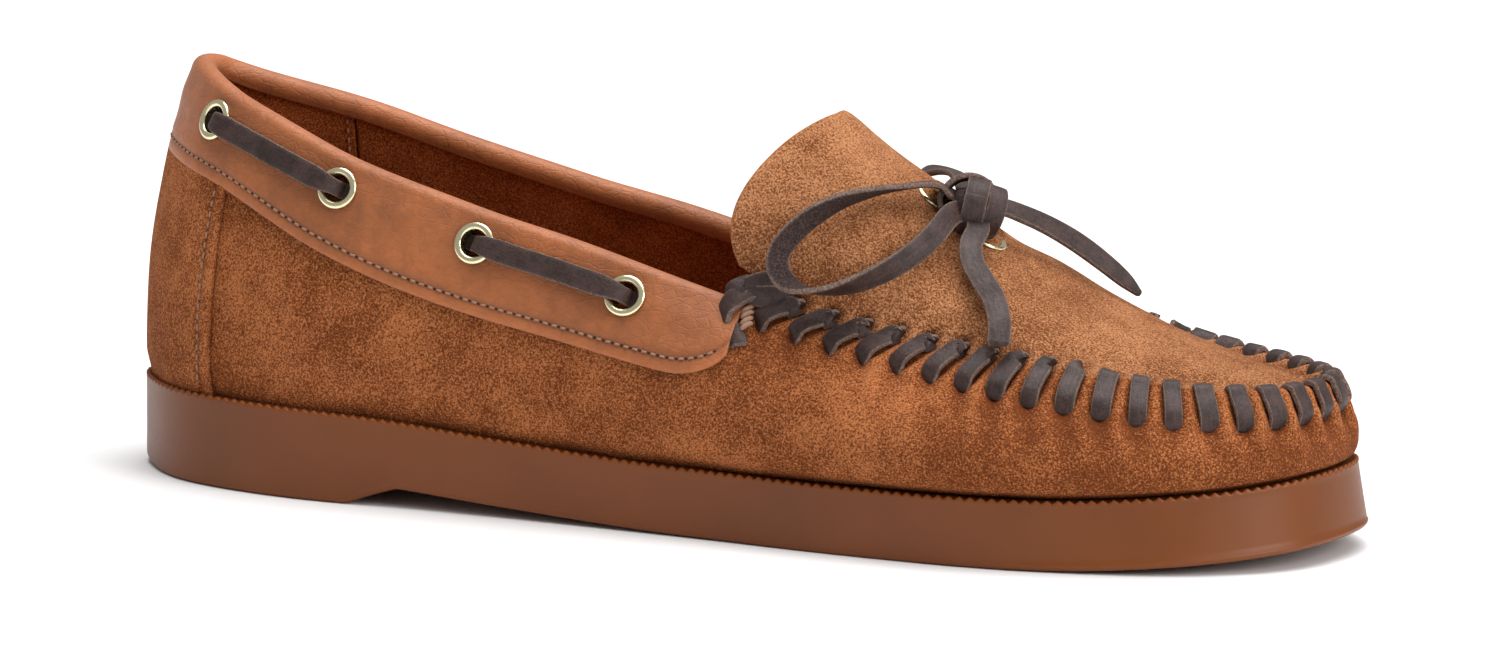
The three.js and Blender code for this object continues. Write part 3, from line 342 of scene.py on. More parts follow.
# ---- Meshes --------------------------------------------------------------------------------------
class Shape:
    """Gathers grids of points into one mesh with its uv map, its 'edge' attribute, and a second attribute of tone
    and painted light: a lace's flesh side, uneven tone, and painted light and shade on suede, collar and sole.
    """

    def __init__(self):
        self.points, self.quads, self.tris, self.uvs, self.edges, self.tone_and_painted_lights = [], [], [], [], [], []
        self.count = 0

    def add(self, grid, round_u=False, round_v=False, caps=False, uv=None, edge=0.0, wear=0.0):
        """A grid of rows and columns, closed either way round if asked. caps closes each end row."""
        n, m = grid.shape[:2]
        rows, cols = np.arange(n if round_u else n - 1), np.arange(m if round_v else m - 1)
        i, j = np.meshgrid(rows, cols, indexing="ij")
        k, l = (i + 1) % n, (j + 1) % m
        quad = np.stack([i * m + j, k * m + j, k * m + l, i * m + l], -1).reshape(-1, 4)
        self.quads.append(quad + self.count)
        if caps:
            at = np.arange(m)
            for row, middle, turned in ((0, n * m, False), (n - 1, n * m + 1, True)):
                fan = np.stack([row * m + at, row * m + (at + 1) % m, np.full(m, middle)], -1)
                self.tris.append((fan[:, ::-1] if turned else fan) + self.count)
        if uv is None:
            uv = np.stack(np.meshgrid(np.linspace(0, 1, n), np.linspace(0, 1, m), indexing="ij"), -1)
        flat = [grid.reshape(-1, 3), np.reshape(uv, (-1, 2)),
                np.broadcast_to(edge, (n, m)).reshape(-1), np.broadcast_to(wear, (n, m)).reshape(-1)]
        if caps:
            ends = [a.reshape(n, m, -1)[[0, -1]].mean(1).reshape((2,) + a.shape[1:]) for a in flat]
            flat = [np.concatenate([a, b]) for a, b in zip(flat, ends)]
        for store, values in zip((self.points, self.uvs, self.edges, self.tone_and_painted_lights), flat):
            store.append(values)
        self.count += len(flat[0])

    def make(self, name, material):
        """The mesh object, with its doubled points merged and its faces turned out."""
        points = to_frame(np.concatenate(self.points))
        faces = np.concatenate(self.quads).tolist()
        if self.tris:
            faces += np.concatenate(self.tris).tolist()
        mesh = bpy.data.meshes.new(name)
        mesh.from_pydata(points, [], faces)
        loops = np.empty(len(mesh.loops), int)
        mesh.loops.foreach_get("vertex_index", loops)
        layer = mesh.uv_layers.new(name="UVMap")
        layer.uv.foreach_set("vector", np.concatenate(self.uvs)[loops].astype(np.float32).ravel())
        for label, values in (("edge", self.edges), ("wear", self.tone_and_painted_lights)):
            attribute = mesh.attributes.new(label, "FLOAT", "POINT")
            attribute.data.foreach_set("value", np.concatenate(values).astype(np.float32))
        work = bmesh.new()
        work.from_mesh(mesh)
        bmesh.ops.remove_doubles(work, verts=work.verts, dist=1e-6)
        bmesh.ops.recalc_face_normals(work, faces=work.faces)
        work.to_mesh(mesh)
        work.free()
        mesh.polygons.foreach_set("use_smooth", np.ones(len(mesh.polygons), bool))
        mesh.materials.append(material)
        mesh.update()
        piece = bpy.data.objects.new(name, mesh)
        bpy.context.scene.collection.objects.link(piece)
        return piece


def rounded_sheet(outer, inner, wear=0.0):
    """Two offset faces closed into a sheet with rounded cut edges: each rim goes round by half a circle."""
    n, m = outer.shape[:2]

    def rim(a, b, outward):
        radius = np.linalg.norm(a - b, axis=-1, keepdims=True) / 2
        middle, up = (a + b) / 2, (a - b) / 2
        angles = np.linspace(90, -90, 7)[1:-1] * np.pi / 180
        return [middle + up * np.sin(k) + outward * radius * np.cos(k) for k in angles]

    low = rim(outer[:, 0], inner[:, 0], unit(outer[:, 0] - outer[:, 1]))
    high = rim(outer[:, -1], inner[:, -1], unit(outer[:, -1] - outer[:, -2]))
    ring = np.concatenate([outer, np.stack(high, 1), inner[:, ::-1], np.stack(low[::-1], 1)], 1)
    edge = np.concatenate([np.zeros(m), np.ones(5), np.zeros(m), np.ones(5)])
    painted_light_and_tone = np.broadcast_to(wear, (n, m))
    tone_and_painted_lights = np.concatenate([painted_light_and_tone, np.repeat(painted_light_and_tone[:, -1:], 5, 1),
                            painted_light_and_tone[:, ::-1], np.repeat(painted_light_and_tone[:, :1], 5, 1)], 1)
    shape = Shape()
    shape.add(ring, round_v=True, edge=edge, wear=tone_and_painted_lights)
    close_ends(shape, ring)
    return shape


def close_ends(shape, ring):
    """Zips the first and last row of a closed ring of columns shut, joining each side to the one facing it."""
    n, m = ring.shape[:2]
    base = shape.count - n * m
    half = (m - 10) // 2
    for row, turned in ((0, False), (n - 1, True)):
        a = np.arange(half)
        b = (half + 5) + np.arange(half)[::-1]
        quad = np.stack([a[:-1], a[1:], b[1:], b[:-1]], -1) + row * m + base
        shape.quads.append(quad[:, ::-1] if turned else quad)
        for first, last in ((half - 1, half + 5), (m - 6, m)):
            loop = np.arange(first, last + 1) % m
            fan = np.stack([np.full(len(loop) - 2, loop[0]), loop[1:-1], loop[2:]], -1) + row * m + base
            shape.tris.append(fan if turned else fan[:, ::-1])


def smooth_path(points, count, *others):
    """Resamples points, and values that go with them, evenly along a Hermite curve through them."""
    points = np.asarray(points, float)
    far = np.r_[0, np.cumsum(np.linalg.norm(np.diff(points, axis=0), axis=1))]
    dense = np.linspace(0, far[-1], 12 * count)

    def curve(values, at):
        values = np.asarray(values, float)
        values = values[:, None] if values.ndim == 1 else values
        return np.stack([spline(np.c_[far, column], at) for column in values.T], -1)

    run = curve(points, dense)
    gone = np.r_[0, np.cumsum(np.linalg.norm(np.diff(run, axis=0), axis=1))]
    at = np.interp(np.linspace(0, gone[-1], count), gone, dense)
    return [curve(values, at) for values in (points, *others)], gone[-1]


def strap(shape, points, ups, width, thick, count=60, sides=16, boxy=5.0, end_round=0.5, phase=0.0):
    """A flat lace: a superellipse section, wide across the path and thin along up, carried along a smooth path.
    edge is 1 on its cut sides, and its tone and painted light value is 1 on its flesh side, away from up. uv runs
    in centimetres along it, and round it."""
    knots = len(points)
    widths = np.broadcast_to(width, knots).astype(float)
    thicks = np.broadcast_to(thick, knots).astype(float)
    (centre, up, w, t), length = smooth_path(points, count, ups, widths, thicks)
    along = unit(np.gradient(centre, axis=0))
    across = unit(np.cross(along, up))
    up = np.cross(across, along)
    k = np.linspace(0, 1, count)
    ends = np.minimum(k, 1 - k) * length / max(end_round, 1e-6)
    pinch = np.sqrt(1 - (1 - np.clip(ends, 0, 1)) ** 2)[:, None]
    pinch = np.maximum(pinch, 0.25)
    angle = np.linspace(0, 2 * np.pi, sides, endpoint=False) + np.pi / sides
    cx = np.sign(np.cos(angle)) * np.abs(np.cos(angle)) ** (2 / boxy)
    cy = np.sign(np.sin(angle)) * np.abs(np.sin(angle)) ** (2 / boxy)
    grid = (centre[:, None] + across[:, None] * (cx * (w * mix(0.7, 1, pinch) / 2))[..., None]
            + up[:, None] * (cy * (t * pinch / 2))[..., None])
    uv = np.stack(np.broadcast_arrays((k * length / 10 + phase)[:, None], angle[None] / (2 * np.pi)), -1)
    edge = ease(0.8, 0.97, np.abs(cx)) * (1 - ease(0.75, 0.98, np.abs(cy)))
    flesh = ease(0.3, 0.8, -cy) * (1 - edge)
    shape.add(grid, round_v=True, caps=True, uv=uv, edge=np.broadcast_to(edge, grid.shape[:2]),
              wear=np.broadcast_to(flesh, grid.shape[:2]))
    return centre, length


def thread_row(shape, centres, along, up, long, thick, seed):
    """Short sunk stitches: each is a capsule bent into a low arch along the row, with a little scatter."""
    draw = np.random.default_rng(seed)
    n = len(centres)
    k = np.linspace(-1, 1, 9)[None, :, None]
    angle = np.linspace(0, 2 * np.pi, 8, endpoint=False)[None, None, :]
    across = unit(np.cross(along, up))
    turn = draw.normal(0, 0.06, n)[:, None]
    along = unit(along + across * turn)
    bow = 0.5 * thick * (1 - k ** 2) - 0.35 * thick
    centre = (centres[:, None] + along[:, None] * k * long / 2 + up[:, None] * bow)
    radius = thick / 2 * np.sqrt(np.maximum(1 - np.abs(k) ** 6, 0.02))
    rings = (centre[:, :, None] + up[:, None, None] * (np.sin(angle) * radius)[..., None]
             + across[:, None, None] * (np.cos(angle) * radius)[..., None])
    for ring in rings:
        shape.add(ring, round_v=True, caps=True)


def lathe(shape, profile, centre, axis, sides=40):
    """A closed profile of (radius, height) turned about an axis through centre."""
    axis = unit(np.asarray(axis, float))
    first = unit(np.cross(axis, (0.3, 0.2, 0.93)))
    second = np.cross(axis, first)
    angle = np.linspace(0, 2 * np.pi, sides, endpoint=False)[:, None, None]
    r, h = (np.array(profile, float)[None, :, k, None] for k in (0, 1))
    grid = centre + (first * np.cos(angle) + second * np.sin(angle)) * r + axis * h
    shape.add(grid, round_u=True, round_v=True)


def hold(piece, body, slot, *nodes):
    """Rides the piece on its body and hides the plain nodes that it stands for; slot is not used."""
    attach(piece, body)
    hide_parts(*nodes)
    return piece


# ---- Materials -----------------------------------------------------------------------------------
class Value:
    """A number socket that takes part in sums, adding the Math nodes that they need."""

    def __init__(self, maker, socket):
        self.maker, self.socket = maker, socket

    def _math(self, operation, a, b):
        return self.maker.node("ShaderNodeMath", {"operation": operation}, {0: a, 1: b})

    def __add__(self, other):
        return self._math("ADD", self, other)

    def __mul__(self, other):
        return self._math("MULTIPLY", self, other)

    def __sub__(self, other):
        return self._math("SUBTRACT", self, other)

    def __rsub__(self, other):
        return self._math("SUBTRACT", other, self)

    def least(self, other):
        return self._math("MINIMUM", self, other)

    def most(self, other):
        return self._math("MAXIMUM", self, other)

    __radd__, __rmul__ = __add__, __mul__


class Maker:
    """Builds one material's nodes."""

    def __init__(self, name):
        self.material = bpy.data.materials.new(name)
        self.material.use_nodes = True
        self.tree = self.material.node_tree
        self.shader = self.tree.nodes["Principled BSDF"]

    def node(self, kind, settings=None, inputs=None, output=0):
        node = self.tree.nodes.new(kind)
        for key, value in (settings or {}).items():
            setattr(node, key, value)
        for key, value in (inputs or {}).items():
            self.feed(node.inputs[key], value)
        return Value(self, node.outputs[output])

    def feed(self, socket, value):
        if isinstance(value, Value):
            self.tree.links.new(value.socket, socket)
        else:
            socket.default_value = value

    def place(self):
        return self.node("ShaderNodeTexCoord", output="Object")

    def uv(self):
        return self.node("ShaderNodeTexCoord", output="UV")

    def attribute(self, name):
        return self.node("ShaderNodeAttribute", {"attribute_name": name}, output="Fac")

    def noise(self, at, scale, detail=2.0, rough=0.55, warp=0.0, stretch=None):
        if stretch:
            at = self.node("ShaderNodeMapping", {}, {"Vector": at, "Scale": stretch})
        return self.node("ShaderNodeTexNoise", {}, {"Vector": at, "Scale": scale, "Detail": detail,
                                                  "Roughness": rough, "Distortion": warp}, "Fac")

    def cells(self, at, scale, feature="F1"):
        return self.node("ShaderNodeTexVoronoi", {"feature": feature},
                         {"Vector": at, "Scale": scale}, "Distance")

    def ramp(self, value, low, high):
        """0 below low, 1 above high, smooth between."""
        return self.node("ShaderNodeMapRange", {"interpolation_type": "SMOOTHSTEP"},
                         {"Value": value, "From Min": low, "From Max": high})

    def blend(self, amount, a, b):
        node = self.tree.nodes.new("ShaderNodeMix")
        node.data_type = "RGBA"
        for socket, value in ((node.inputs[0], amount), (node.inputs[6], a), (node.inputs[7], b)):
            self.feed(socket, value)
        return Value(self, node.outputs[2])

    def bump(self, height, distance, strength=1.0):
        return self.node("ShaderNodeBump", {}, {"Height": height, "Distance": distance, "Strength": strength})

    def finish(self, **sockets):
        for key, value in sockets.items():
            self.feed(self.shader.inputs[key.replace("_", " ")], value)
        return self.material


def rgb(value, gain=1.0):
    return tuple(min(c * gain, 1) for c in value[:3]) + (1.0,)


def suede_material(name, colour, depth=1.0):
    """Napped leather: blotches where the nap was brushed different ways, and a speckle of fibre tips."""
    m = Maker(name)
    at = m.place()
    cloud = m.noise(at, 48, 2, 0.5)
    brush = m.noise(at, 190, 1, 0.5, 0.4)
    nap = m.noise(at, 2500, 2, 0.6)
    fleck = m.noise(at, 4600, 2, 0.7)
    wear = m.attribute("wear")
    # The mesh's tone and painted light value paints light and shade into the suede: lighter on puffs and pleats,
    # darker in stitch holes, hollows, low on the wall and round the toe.
    tone = (cloud - 0.5) * 1.9 + (brush - 0.5) * 0.9 + (nap - 0.5) * 6.4 + (fleck - 0.5) * 3.6 + wear * 0.6
    tone = tone * (0.8 * depth) + 0.5
    base = m.blend(m.ramp(tone, -0.15, 0.55), rgb(np.multiply(colour, (0.46, 0.38, 0.32))), rgb(colour))
    base = m.blend(m.ramp(tone, 0.45, 1.3), base, rgb(np.multiply(colour, (1.8, 2.15, 2.6))))
    base = m.blend(m.attribute("edge") * 0.45, base, rgb(colour, 1.5))
    height = nap + fleck * 0.45 + brush * 0.5
    return m.finish(Base_Color=base, Roughness=m.ramp(nap, 0.2, 0.8) * 0.1 + 0.86,
                    Normal=m.bump(height, 0.0006, 1.0), Sheen_Weight=0.1, Sheen_Roughness=0.6,
                    Sheen_Tint=rgb(colour, 2.2), Specular_IOR_Level=0.12)


def smooth_leather(name, colour):
    """Aniline leather: pull-up tones, fine pores and hair-line creases with painted shade in them, a soft waxed
    sheen.
    """
    m = Maker(name)
    at = m.place()
    pull = m.noise(at, 60, 4, 0.6, 0.6)
    small = m.noise(at, 420, 3, 0.6)
    pores = m.ramp(m.cells(at, 1500), 0.05, 0.5)
    crease = m.ramp(m.cells(m.node("ShaderNodeMapping", {}, {"Vector": at, "Scale": (1, 1, 2.2)}), 260,
                            "DISTANCE_TO_EDGE"), 0.0, 0.09)
    wear = m.attribute("wear")
    # The mesh's tone and painted light value paints light and shade into the collar: a highlight on the rolled
    # topline, shade in the stitch row, round the eyelets and on the part turned down inside.
    tone = (pull - 0.5) * 0.95 + (small - 0.5) * 0.5 + wear * 0.45 + 0.5
    base = m.blend(m.ramp(tone, 0.1, 0.9), rgb(colour, 0.68), rgb(colour, 1.3))
    # Painted shade: darker in the creases and the pores.
    base = m.blend((1 - crease) * 0.14, base, rgb(colour, 0.5))
    base = m.blend((1 - pores) * 0.12, base, rgb(colour, 0.45))
    height = pores * 0.35 + crease * 0.35 + small * 0.6
    return m.finish(Base_Color=base, Roughness=(1 - tone) * 0.18 + 0.42, Normal=m.bump(height, 0.00022, 0.55),
                    Sheen_Weight=0.08, Specular_IOR_Level=0.42)


def lace_material(name, colour, raw):
    """Rawhide lace: waxed grain with lengthwise hair-lines on its faces, paler fuzzy fibre on its cut edges."""
    m = Maker(name)
    at, uv = m.place(), m.uv()
    grain = m.noise(uv, 3.0, 5, 0.7, 0.3, stretch=(1.2, 26, 1))
    patch = m.noise(at, 240, 3, 0.6)
    pores = m.noise(at, 1900, 3, 0.6)
    fuzz = m.noise(at, 2600, 3, 0.8)
    edge, flesh = m.attribute("edge"), m.attribute("wear")
    tone = (grain - 0.5) + (patch - 0.5) * 1.2 + (pores - 0.5) * 0.9 + 0.5
    face = m.blend(m.ramp(tone, 0.1, 0.95), rgb(colour, 0.55), rgb(colour, 1.8))
    rough = m.blend(m.ramp(fuzz, 0.35, 0.7), rgb(colour, 0.2), rgb(colour, 2.4))
    face = m.blend(flesh, face, rough)
    side = m.blend(m.ramp(fuzz, 0.35, 0.7), rgb(raw, 0.35), rgb(raw, 1.35))
    base = m.blend((edge * (m.ramp(patch, 0.1, 0.55) * 0.5 + 0.5)).least(0.9), face, side)
    height = grain * 0.4 + pores * 0.5 + fuzz * (edge + flesh) * 1.6
    return m.finish(Base_Color=base, Roughness=(edge + flesh) * 0.35 + (1 - tone) * 0.12 + 0.4,
                    Normal=m.bump(height, 0.0003, 0.8), Specular_IOR_Level=0.32)


def gum_rubber(name, colour, deep):
    """Moulded gum rubber: even and satin, slightly cloudy, faint scuffs, some light scattered inside."""
    m = Maker(name)
    at = m.place()
    cloud = m.noise(at, 30, 3, 0.5)
    fine = m.noise(at, 700, 3, 0.6)
    scuff = m.ramp(m.noise(at, 900, 4, 0.7, stretch=(0.25, 1, 3)), 0.55, 0.8)
    wear = m.attribute("wear")
    base = m.blend(m.ramp(cloud, 0.3, 0.7), rgb(deep), rgb(colour))
    # Painted highlight: the rubber is lighter where the mesh's tone and painted light value is high, on the
    # toothed rim and the rounded bottom edge.
    base = m.blend((wear * 0.55).most(0.0).least(1.0), base, rgb(colour, 1.55))
    base = m.blend(scuff * 0.1, base, rgb(colour, 1.4))
    height = fine * 0.4 + scuff * 0.25
    return m.finish(Base_Color=base, Roughness=(fine - 0.5) * 0.12 + scuff * 0.1 + 0.4,
                    Normal=m.bump(height, 0.0001, 0.35), Subsurface_Weight=0.05, Subsurface_Scale=0.004,
                    Specular_IOR_Level=0.3)


def brass_material(name, colour):
    """Pressed, lacquered brass: bright, with fine turning lines and a few dull spots."""
    m = Maker(name)
    at = m.place()
    dull = m.ramp(m.noise(at, 500, 3, 0.6), 0.45, 0.75)
    lines = m.noise(at, 5200, 2, 0.5)
    base = m.blend(dull * 0.5, rgb(colour), rgb(colour, 0.72))
    return m.finish(Base_Color=base, Metallic=1.0, Roughness=dull * 0.16 + lines * 0.06 + 0.17,
                    Normal=m.bump(lines, 0.00003, 0.3))


def thread_material(name, colour):
    """Twisted sewing thread: a slanted ply painted as light and dark bands, the lit crests and shaded grooves of
    its strands, waxed and slightly shiny.
    """
    m = Maker(name)
    uv = m.uv()
    turn = m.node("ShaderNodeMapping", {}, {"Vector": uv, "Rotation": (0, 0, 0.7), "Scale": (3, 2, 1)})
    ply = m.node("ShaderNodeTexWave", {"wave_type": "BANDS"},
                 {"Vector": turn, "Scale": 2.0, "Distortion": 0.6}, "Fac")
    # Painted light and shade: the ply's lit crests and shaded grooves as light and dark bands.
    base = m.blend(ply, rgb(colour, 0.62), rgb(colour, 1.15))
    return m.finish(Base_Color=base, Roughness=ply * -0.15 + 0.6, Normal=m.bump(ply, 0.00008, 0.6))


def board_material(name, colour, scale, rough=0.9, contrast=0.5):
    """Pressed fibre, cork or foam: coarse grains of two tones over a fine crumb."""
    m = Maker(name)
    at = m.place()
    grains = m.cells(at, scale)
    crumb = m.noise(at, scale * 3, 3, 0.7)
    tone = m.ramp(grains + (crumb - 0.5) * 0.6, 0.1, 0.9)
    base = m.blend(tone * contrast, rgb(colour), rgb(colour, 0.5))
    return m.finish(Base_Color=base, Roughness=crumb * 0.1 + (rough - 0.05),
                    Normal=m.bump(grains * 0.6 + crumb * 0.4, 0.0003, 0.6))


def steel_material(name, colour):
    """Blued spring steel: rolled lengthways, with straw and blue temper tones."""
    m = Maker(name)
    at = m.place()
    rolled = m.noise(at, 900, 3, 0.6, stretch=(0.05, 1, 1))
    temper = m.noise(at, 45, 2, 0.5)
    base = m.blend(m.ramp(temper, 0.35, 0.65), rgb(colour), (0.34, 0.36, 0.42, 1))
    return m.finish(Base_Color=base, Metallic=1.0, Roughness=rolled * 0.22 + 0.26,
                    Normal=m.bump(rolled, 0.00005, 0.4))


# ---- Sole ----------------------------------------------------------------------------------------
def outsole_shape(tooth_pitch, tooth_height):
    """Loops of the plan outline, offset out and set down: a toothed rim, a wall that flares at the toe, and a
    rounded bottom edge. Both faces are closed by lines across the foot, the lower one cut with waved grooves."""
    n = 4 * int(GIRTH / tooth_pitch)
    u = np.arange(n) / n
    point, out = outline(u)
    x = point[:, 0]
    tooth = np.abs(np.mod(u * n / 4, 1) - 0.5) * 2
    flare = TOE_FLARE * ease(0.7, 1, x / UPPER_LENGTH)
    cloud = ripple(x / 18, point[:, 1] / 18, 3) * 0.12

    def loop(off, drop, painted_light_and_tone, from_bottom=False):
        plan = point + out * np.reshape(off, (-1, 1))
        level = sole_bottom(plan[:, 0]) if from_bottom else sole_top(plan[:, 0])
        return np.c_[plan, level + drop], np.full(n, painted_light_and_tone)

    rise = tooth_height * (tooth - 0.5)
    # The values that go with these rows are painted light: highlights on the toothed rim and the rounded bottom
    # edge, the wall a little lighter towards its foot; the negative values under the upper come to nothing.
    rows = [loop(-7, 0, -0.4), loop(-2, 0, -0.4), loop(0.2, -0.1, -0.3),
            loop(WELT_LEDGE - 0.75, rise + 0.05, 0.3), loop(WELT_LEDGE - 0.2 + 0.12 * tooth, rise + 0.02, 0.7),
            loop(WELT_LEDGE + 0.12 * tooth, rise * 0.7 - 0.25, 0.55), loop(WELT_LEDGE + 0.04, -0.75, 0.0)]
    top, bottom = rows[-1][0], loop(WELT_LEDGE + flare, 0, 0, True)[0]
    for k in np.linspace(0.08, 0.9, 9):
        rows.append((mix(top, bottom, k) + np.c_[out * (cloud * np.sin(np.pi * k))[:, None], 0 * x],
                     np.full(n, 0.12 * ease(0.5, 1, k))))
    for k in (0.0, 0.3, 0.6, 0.85, 1.0):
        angle = k * np.pi / 2
        rows.append(loop(WELT_LEDGE + flare - 1.1 * (1 - np.cos(angle)), 1.1 * (1 - np.sin(angle)), 0.3, True))
    rows.append(loop(WELT_LEDGE + flare - 3.0, 0, 0.0, True))
    shape = Shape()
    shape.add(np.stack([r[0] for r in rows], 1), round_u=True, wear=np.stack([r[1] for r in rows], 1))
    half = n // 2
    pair = np.arange(half + 1)
    for ring, columns, under in ((rows[0][0], 8, False), (rows[-1][0], 64, True)):
        k = np.linspace(0, 1, columns)[None, :, None]
        cap = mix(ring[pair][:, None], ring[-pair][:, None], k)
        if under:
            side = np.minimum(k, 1 - k)[..., 0] * np.linalg.norm(ring[pair] - ring[-pair], axis=-1)[:, None]
            px, py = cap[..., 0], cap[..., 1]
            wave = np.cos(2 * np.pi * (px + 2.2 * np.sin(2 * np.pi * py / 22)) / 7.5)
            waist = ease(52, 56, px) * (1 - ease(112, 118, px))
            tread = ease(0.45, 0.8, wave) * ease(4, 5.5, side) * (1 - waist)
            tread *= ease(4, 8, px) * (1 - ease(238, 244, px))
            cap[..., 2] = np.where(side > 0.01, sole_bottom(px), cap[..., 2]) + 0.9 * tread
        shape.add(cap)
    return shape


# ---- Upper ---------------------------------------------------------------------------------------
def wrap_relief(u, s):
    """Swell of the suede off the last, in millimetres, and its painted light and shade: it is drawn in at each
    stitch hole, puffs out between stitches, falls in pleats below them, and tucks in at the sole. Painted shade
    makes it darkest round the toe."""
    low = whip_low(u)
    up = np.clip((s - low) / (1 - low), 0, 1)
    phase = whip_phase(u, up)
    on = stitched(phase)
    gap = puff(phase)
    toe = 1 - ease(0.1, 0.19, np.abs(u - 0.5))
    near = ease(low - 0.1, low + 0.06, s)
    height = wall_height(u)
    hole = hill((phase - np.round(phase)) * WHIP_SPACING, 1.9) * hill((s - low) * height, 1.7)
    pleat = ease(mix(0.55, 0.12, toe), 0.8, s) * mix(0.16, 0.42, toe)
    drift = 0.16 * np.sin(7 * s + 21 * u)
    folds = (puff(phase + drift) - 0.5) * uneven(phase, 11, 0.6) * pleat * 2
    off = on * (near * (gap - 0.45) * uneven(phase, 4) + 1.4 * folds * (1 - 0.4 * near) - 0.8 * hole)
    off = off + on * 0.6 * ease(0.86, 0.98, s)
    off = off + 0.32 * ripple(u * GIRTH / 16, s * height / 12, 7) * ease(0.05, 0.3, s)
    off = off + 0.1 * ripple(u * GIRTH / 5, s * height / 4, 8) - 0.85 * (1 - ease(0, 0.09, s))
    # Painted light on the puffs and pleats; painted shade in the stitch holes, at the foot of the wall, low on the
    # wall and round the toe.
    painted_light_and_tone = on * near * (1.1 * gap - 0.6) + on * folds * 1.3 - 1.1 * on * hole - 0.75 * (1 - ease(0.0, 0.1, s))
    painted_light_and_tone = painted_light_and_tone - 0.12 * (1 - ease(0.1, 0.4, s)) - 0.8 * ease(0.33, 0.41, np.minimum(u, 1 - u))
    return off, painted_light_and_tone


def wrap_top(u):
    f = outline(u)[0][..., 0] / UPPER_LENGTH
    return mix(np.minimum(collar_low(u) + COLLAR_OVERLAP, 1), 1, ease(0.545, 0.572, f))


def wrap_shape():
    """The whole wall from the sole to the seam, or to just under the collar, swollen by its relief."""
    back, front = 170, 560
    u = np.concatenate([np.linspace(0.0012, 0.27, back, endpoint=False), np.linspace(0.27, 0.73, front),
                        np.linspace(0.73, 0.9988, back + 1)[1:]])[:, None]
    s = np.linspace(0, 1, 42)[None] ** 0.92 * wrap_top(u)
    off, painted_light_and_tone = wrap_relief(u, s)
    return rounded_sheet(on_wall(u, s, off), on_wall(u, s, np.minimum(off, 0) - WRAP), painted_light_and_tone)


def seam_distance(points):
    """Distance of each point from the apron seam, and the outline share of the nearest seam point."""
    u = np.linspace(THROAT_U - 0.004, 1 - THROAT_U + 0.004, 900)
    seam = wall(u, 1)
    flat = points.reshape(-1, 3)
    nearest, far = np.empty(len(flat)), np.empty(len(flat))
    for start in range(0, len(flat), 4000):
        part = flat[start:start + 4000]
        gap = np.linalg.norm(part[:, None] - seam[None], axis=-1)
        pick = gap.argmin(1)
        nearest[start:start + 4000], far[start:start + 4000] = u[pick], gap[np.arange(len(part)), pick]
    return far.reshape(points.shape[:-1]), nearest.reshape(points.shape[:-1])


def apron_shape():
    """The apron and its tongue as one hide: raised along the seam, drawn in at each stitch, hollow beyond."""
    t = np.linspace(-1, 1, 190)[:, None]
    v = 1 - (1 - np.linspace(0, 1, 236)[None]) ** 0.85 * 0.985
    reach = mix(0.992, 0.93, ease(0.945, 1, v))
    t = np.sign(t) * np.abs(t) ** 0.86 * reach
    face = apron_face(v, t)
    far, u = seam_distance(face)
    phase = whip_phase(u, 1.0)
    on = stitched(phase)
    toe = 1 - ease(0.1, 0.2, np.abs(u - 0.5))
    gap = puff(phase) * uneven(phase, 9)
    hole = hill((phase - np.round(phase)) * mix(5.6, 7.0, 1 - toe), 1.9) * hill(far - 2.6, 1.4)
    off = on * (0.7 * hill(far, 1.5) + (0.9 * gap - 0.35) * hill(far - 1.6, 2.0) - 0.7 * hole)
    off = off - on * mix(0.25, 0.7, toe) * hill(far - 6.0, 2.6)
    off = off + 0.35 * (gap - 0.5) * hill(far - 5, 3.2) * on * toe
    x, y = face[..., 0], face[..., 1]
    off = off + 0.3 * ripple(x / 13, y / 10, 17) + 0.09 * ripple(x / 4, y / 4, 19)
    rear = ease(0.86, 1, v) * (1 - np.abs(t) ** 4)
    off = off + 0.5 * rear * np.sin(5.2 * t + 0.7)
    # Painted light on the puffs by the seam; painted shade at the stitch holes and in the hollow beyond them;
    # lighter along the tongue's rear edge.
    painted_light_and_tone = on * ((1.2 * gap - 0.5) * hill(far - 1.2, 2.3) - 0.9 * hole) - 0.2 * on * hill(far - 6, 2.5)
    painted_light_and_tone = painted_light_and_tone + 0.25 * ease(0.97, 1, v)
    normal = apron_out(v, t)
    under = np.minimum(off, 0.2) - APRON
    return rounded_sheet(face + normal * off[..., None], face + normal * under[..., None], painted_light_and_tone)


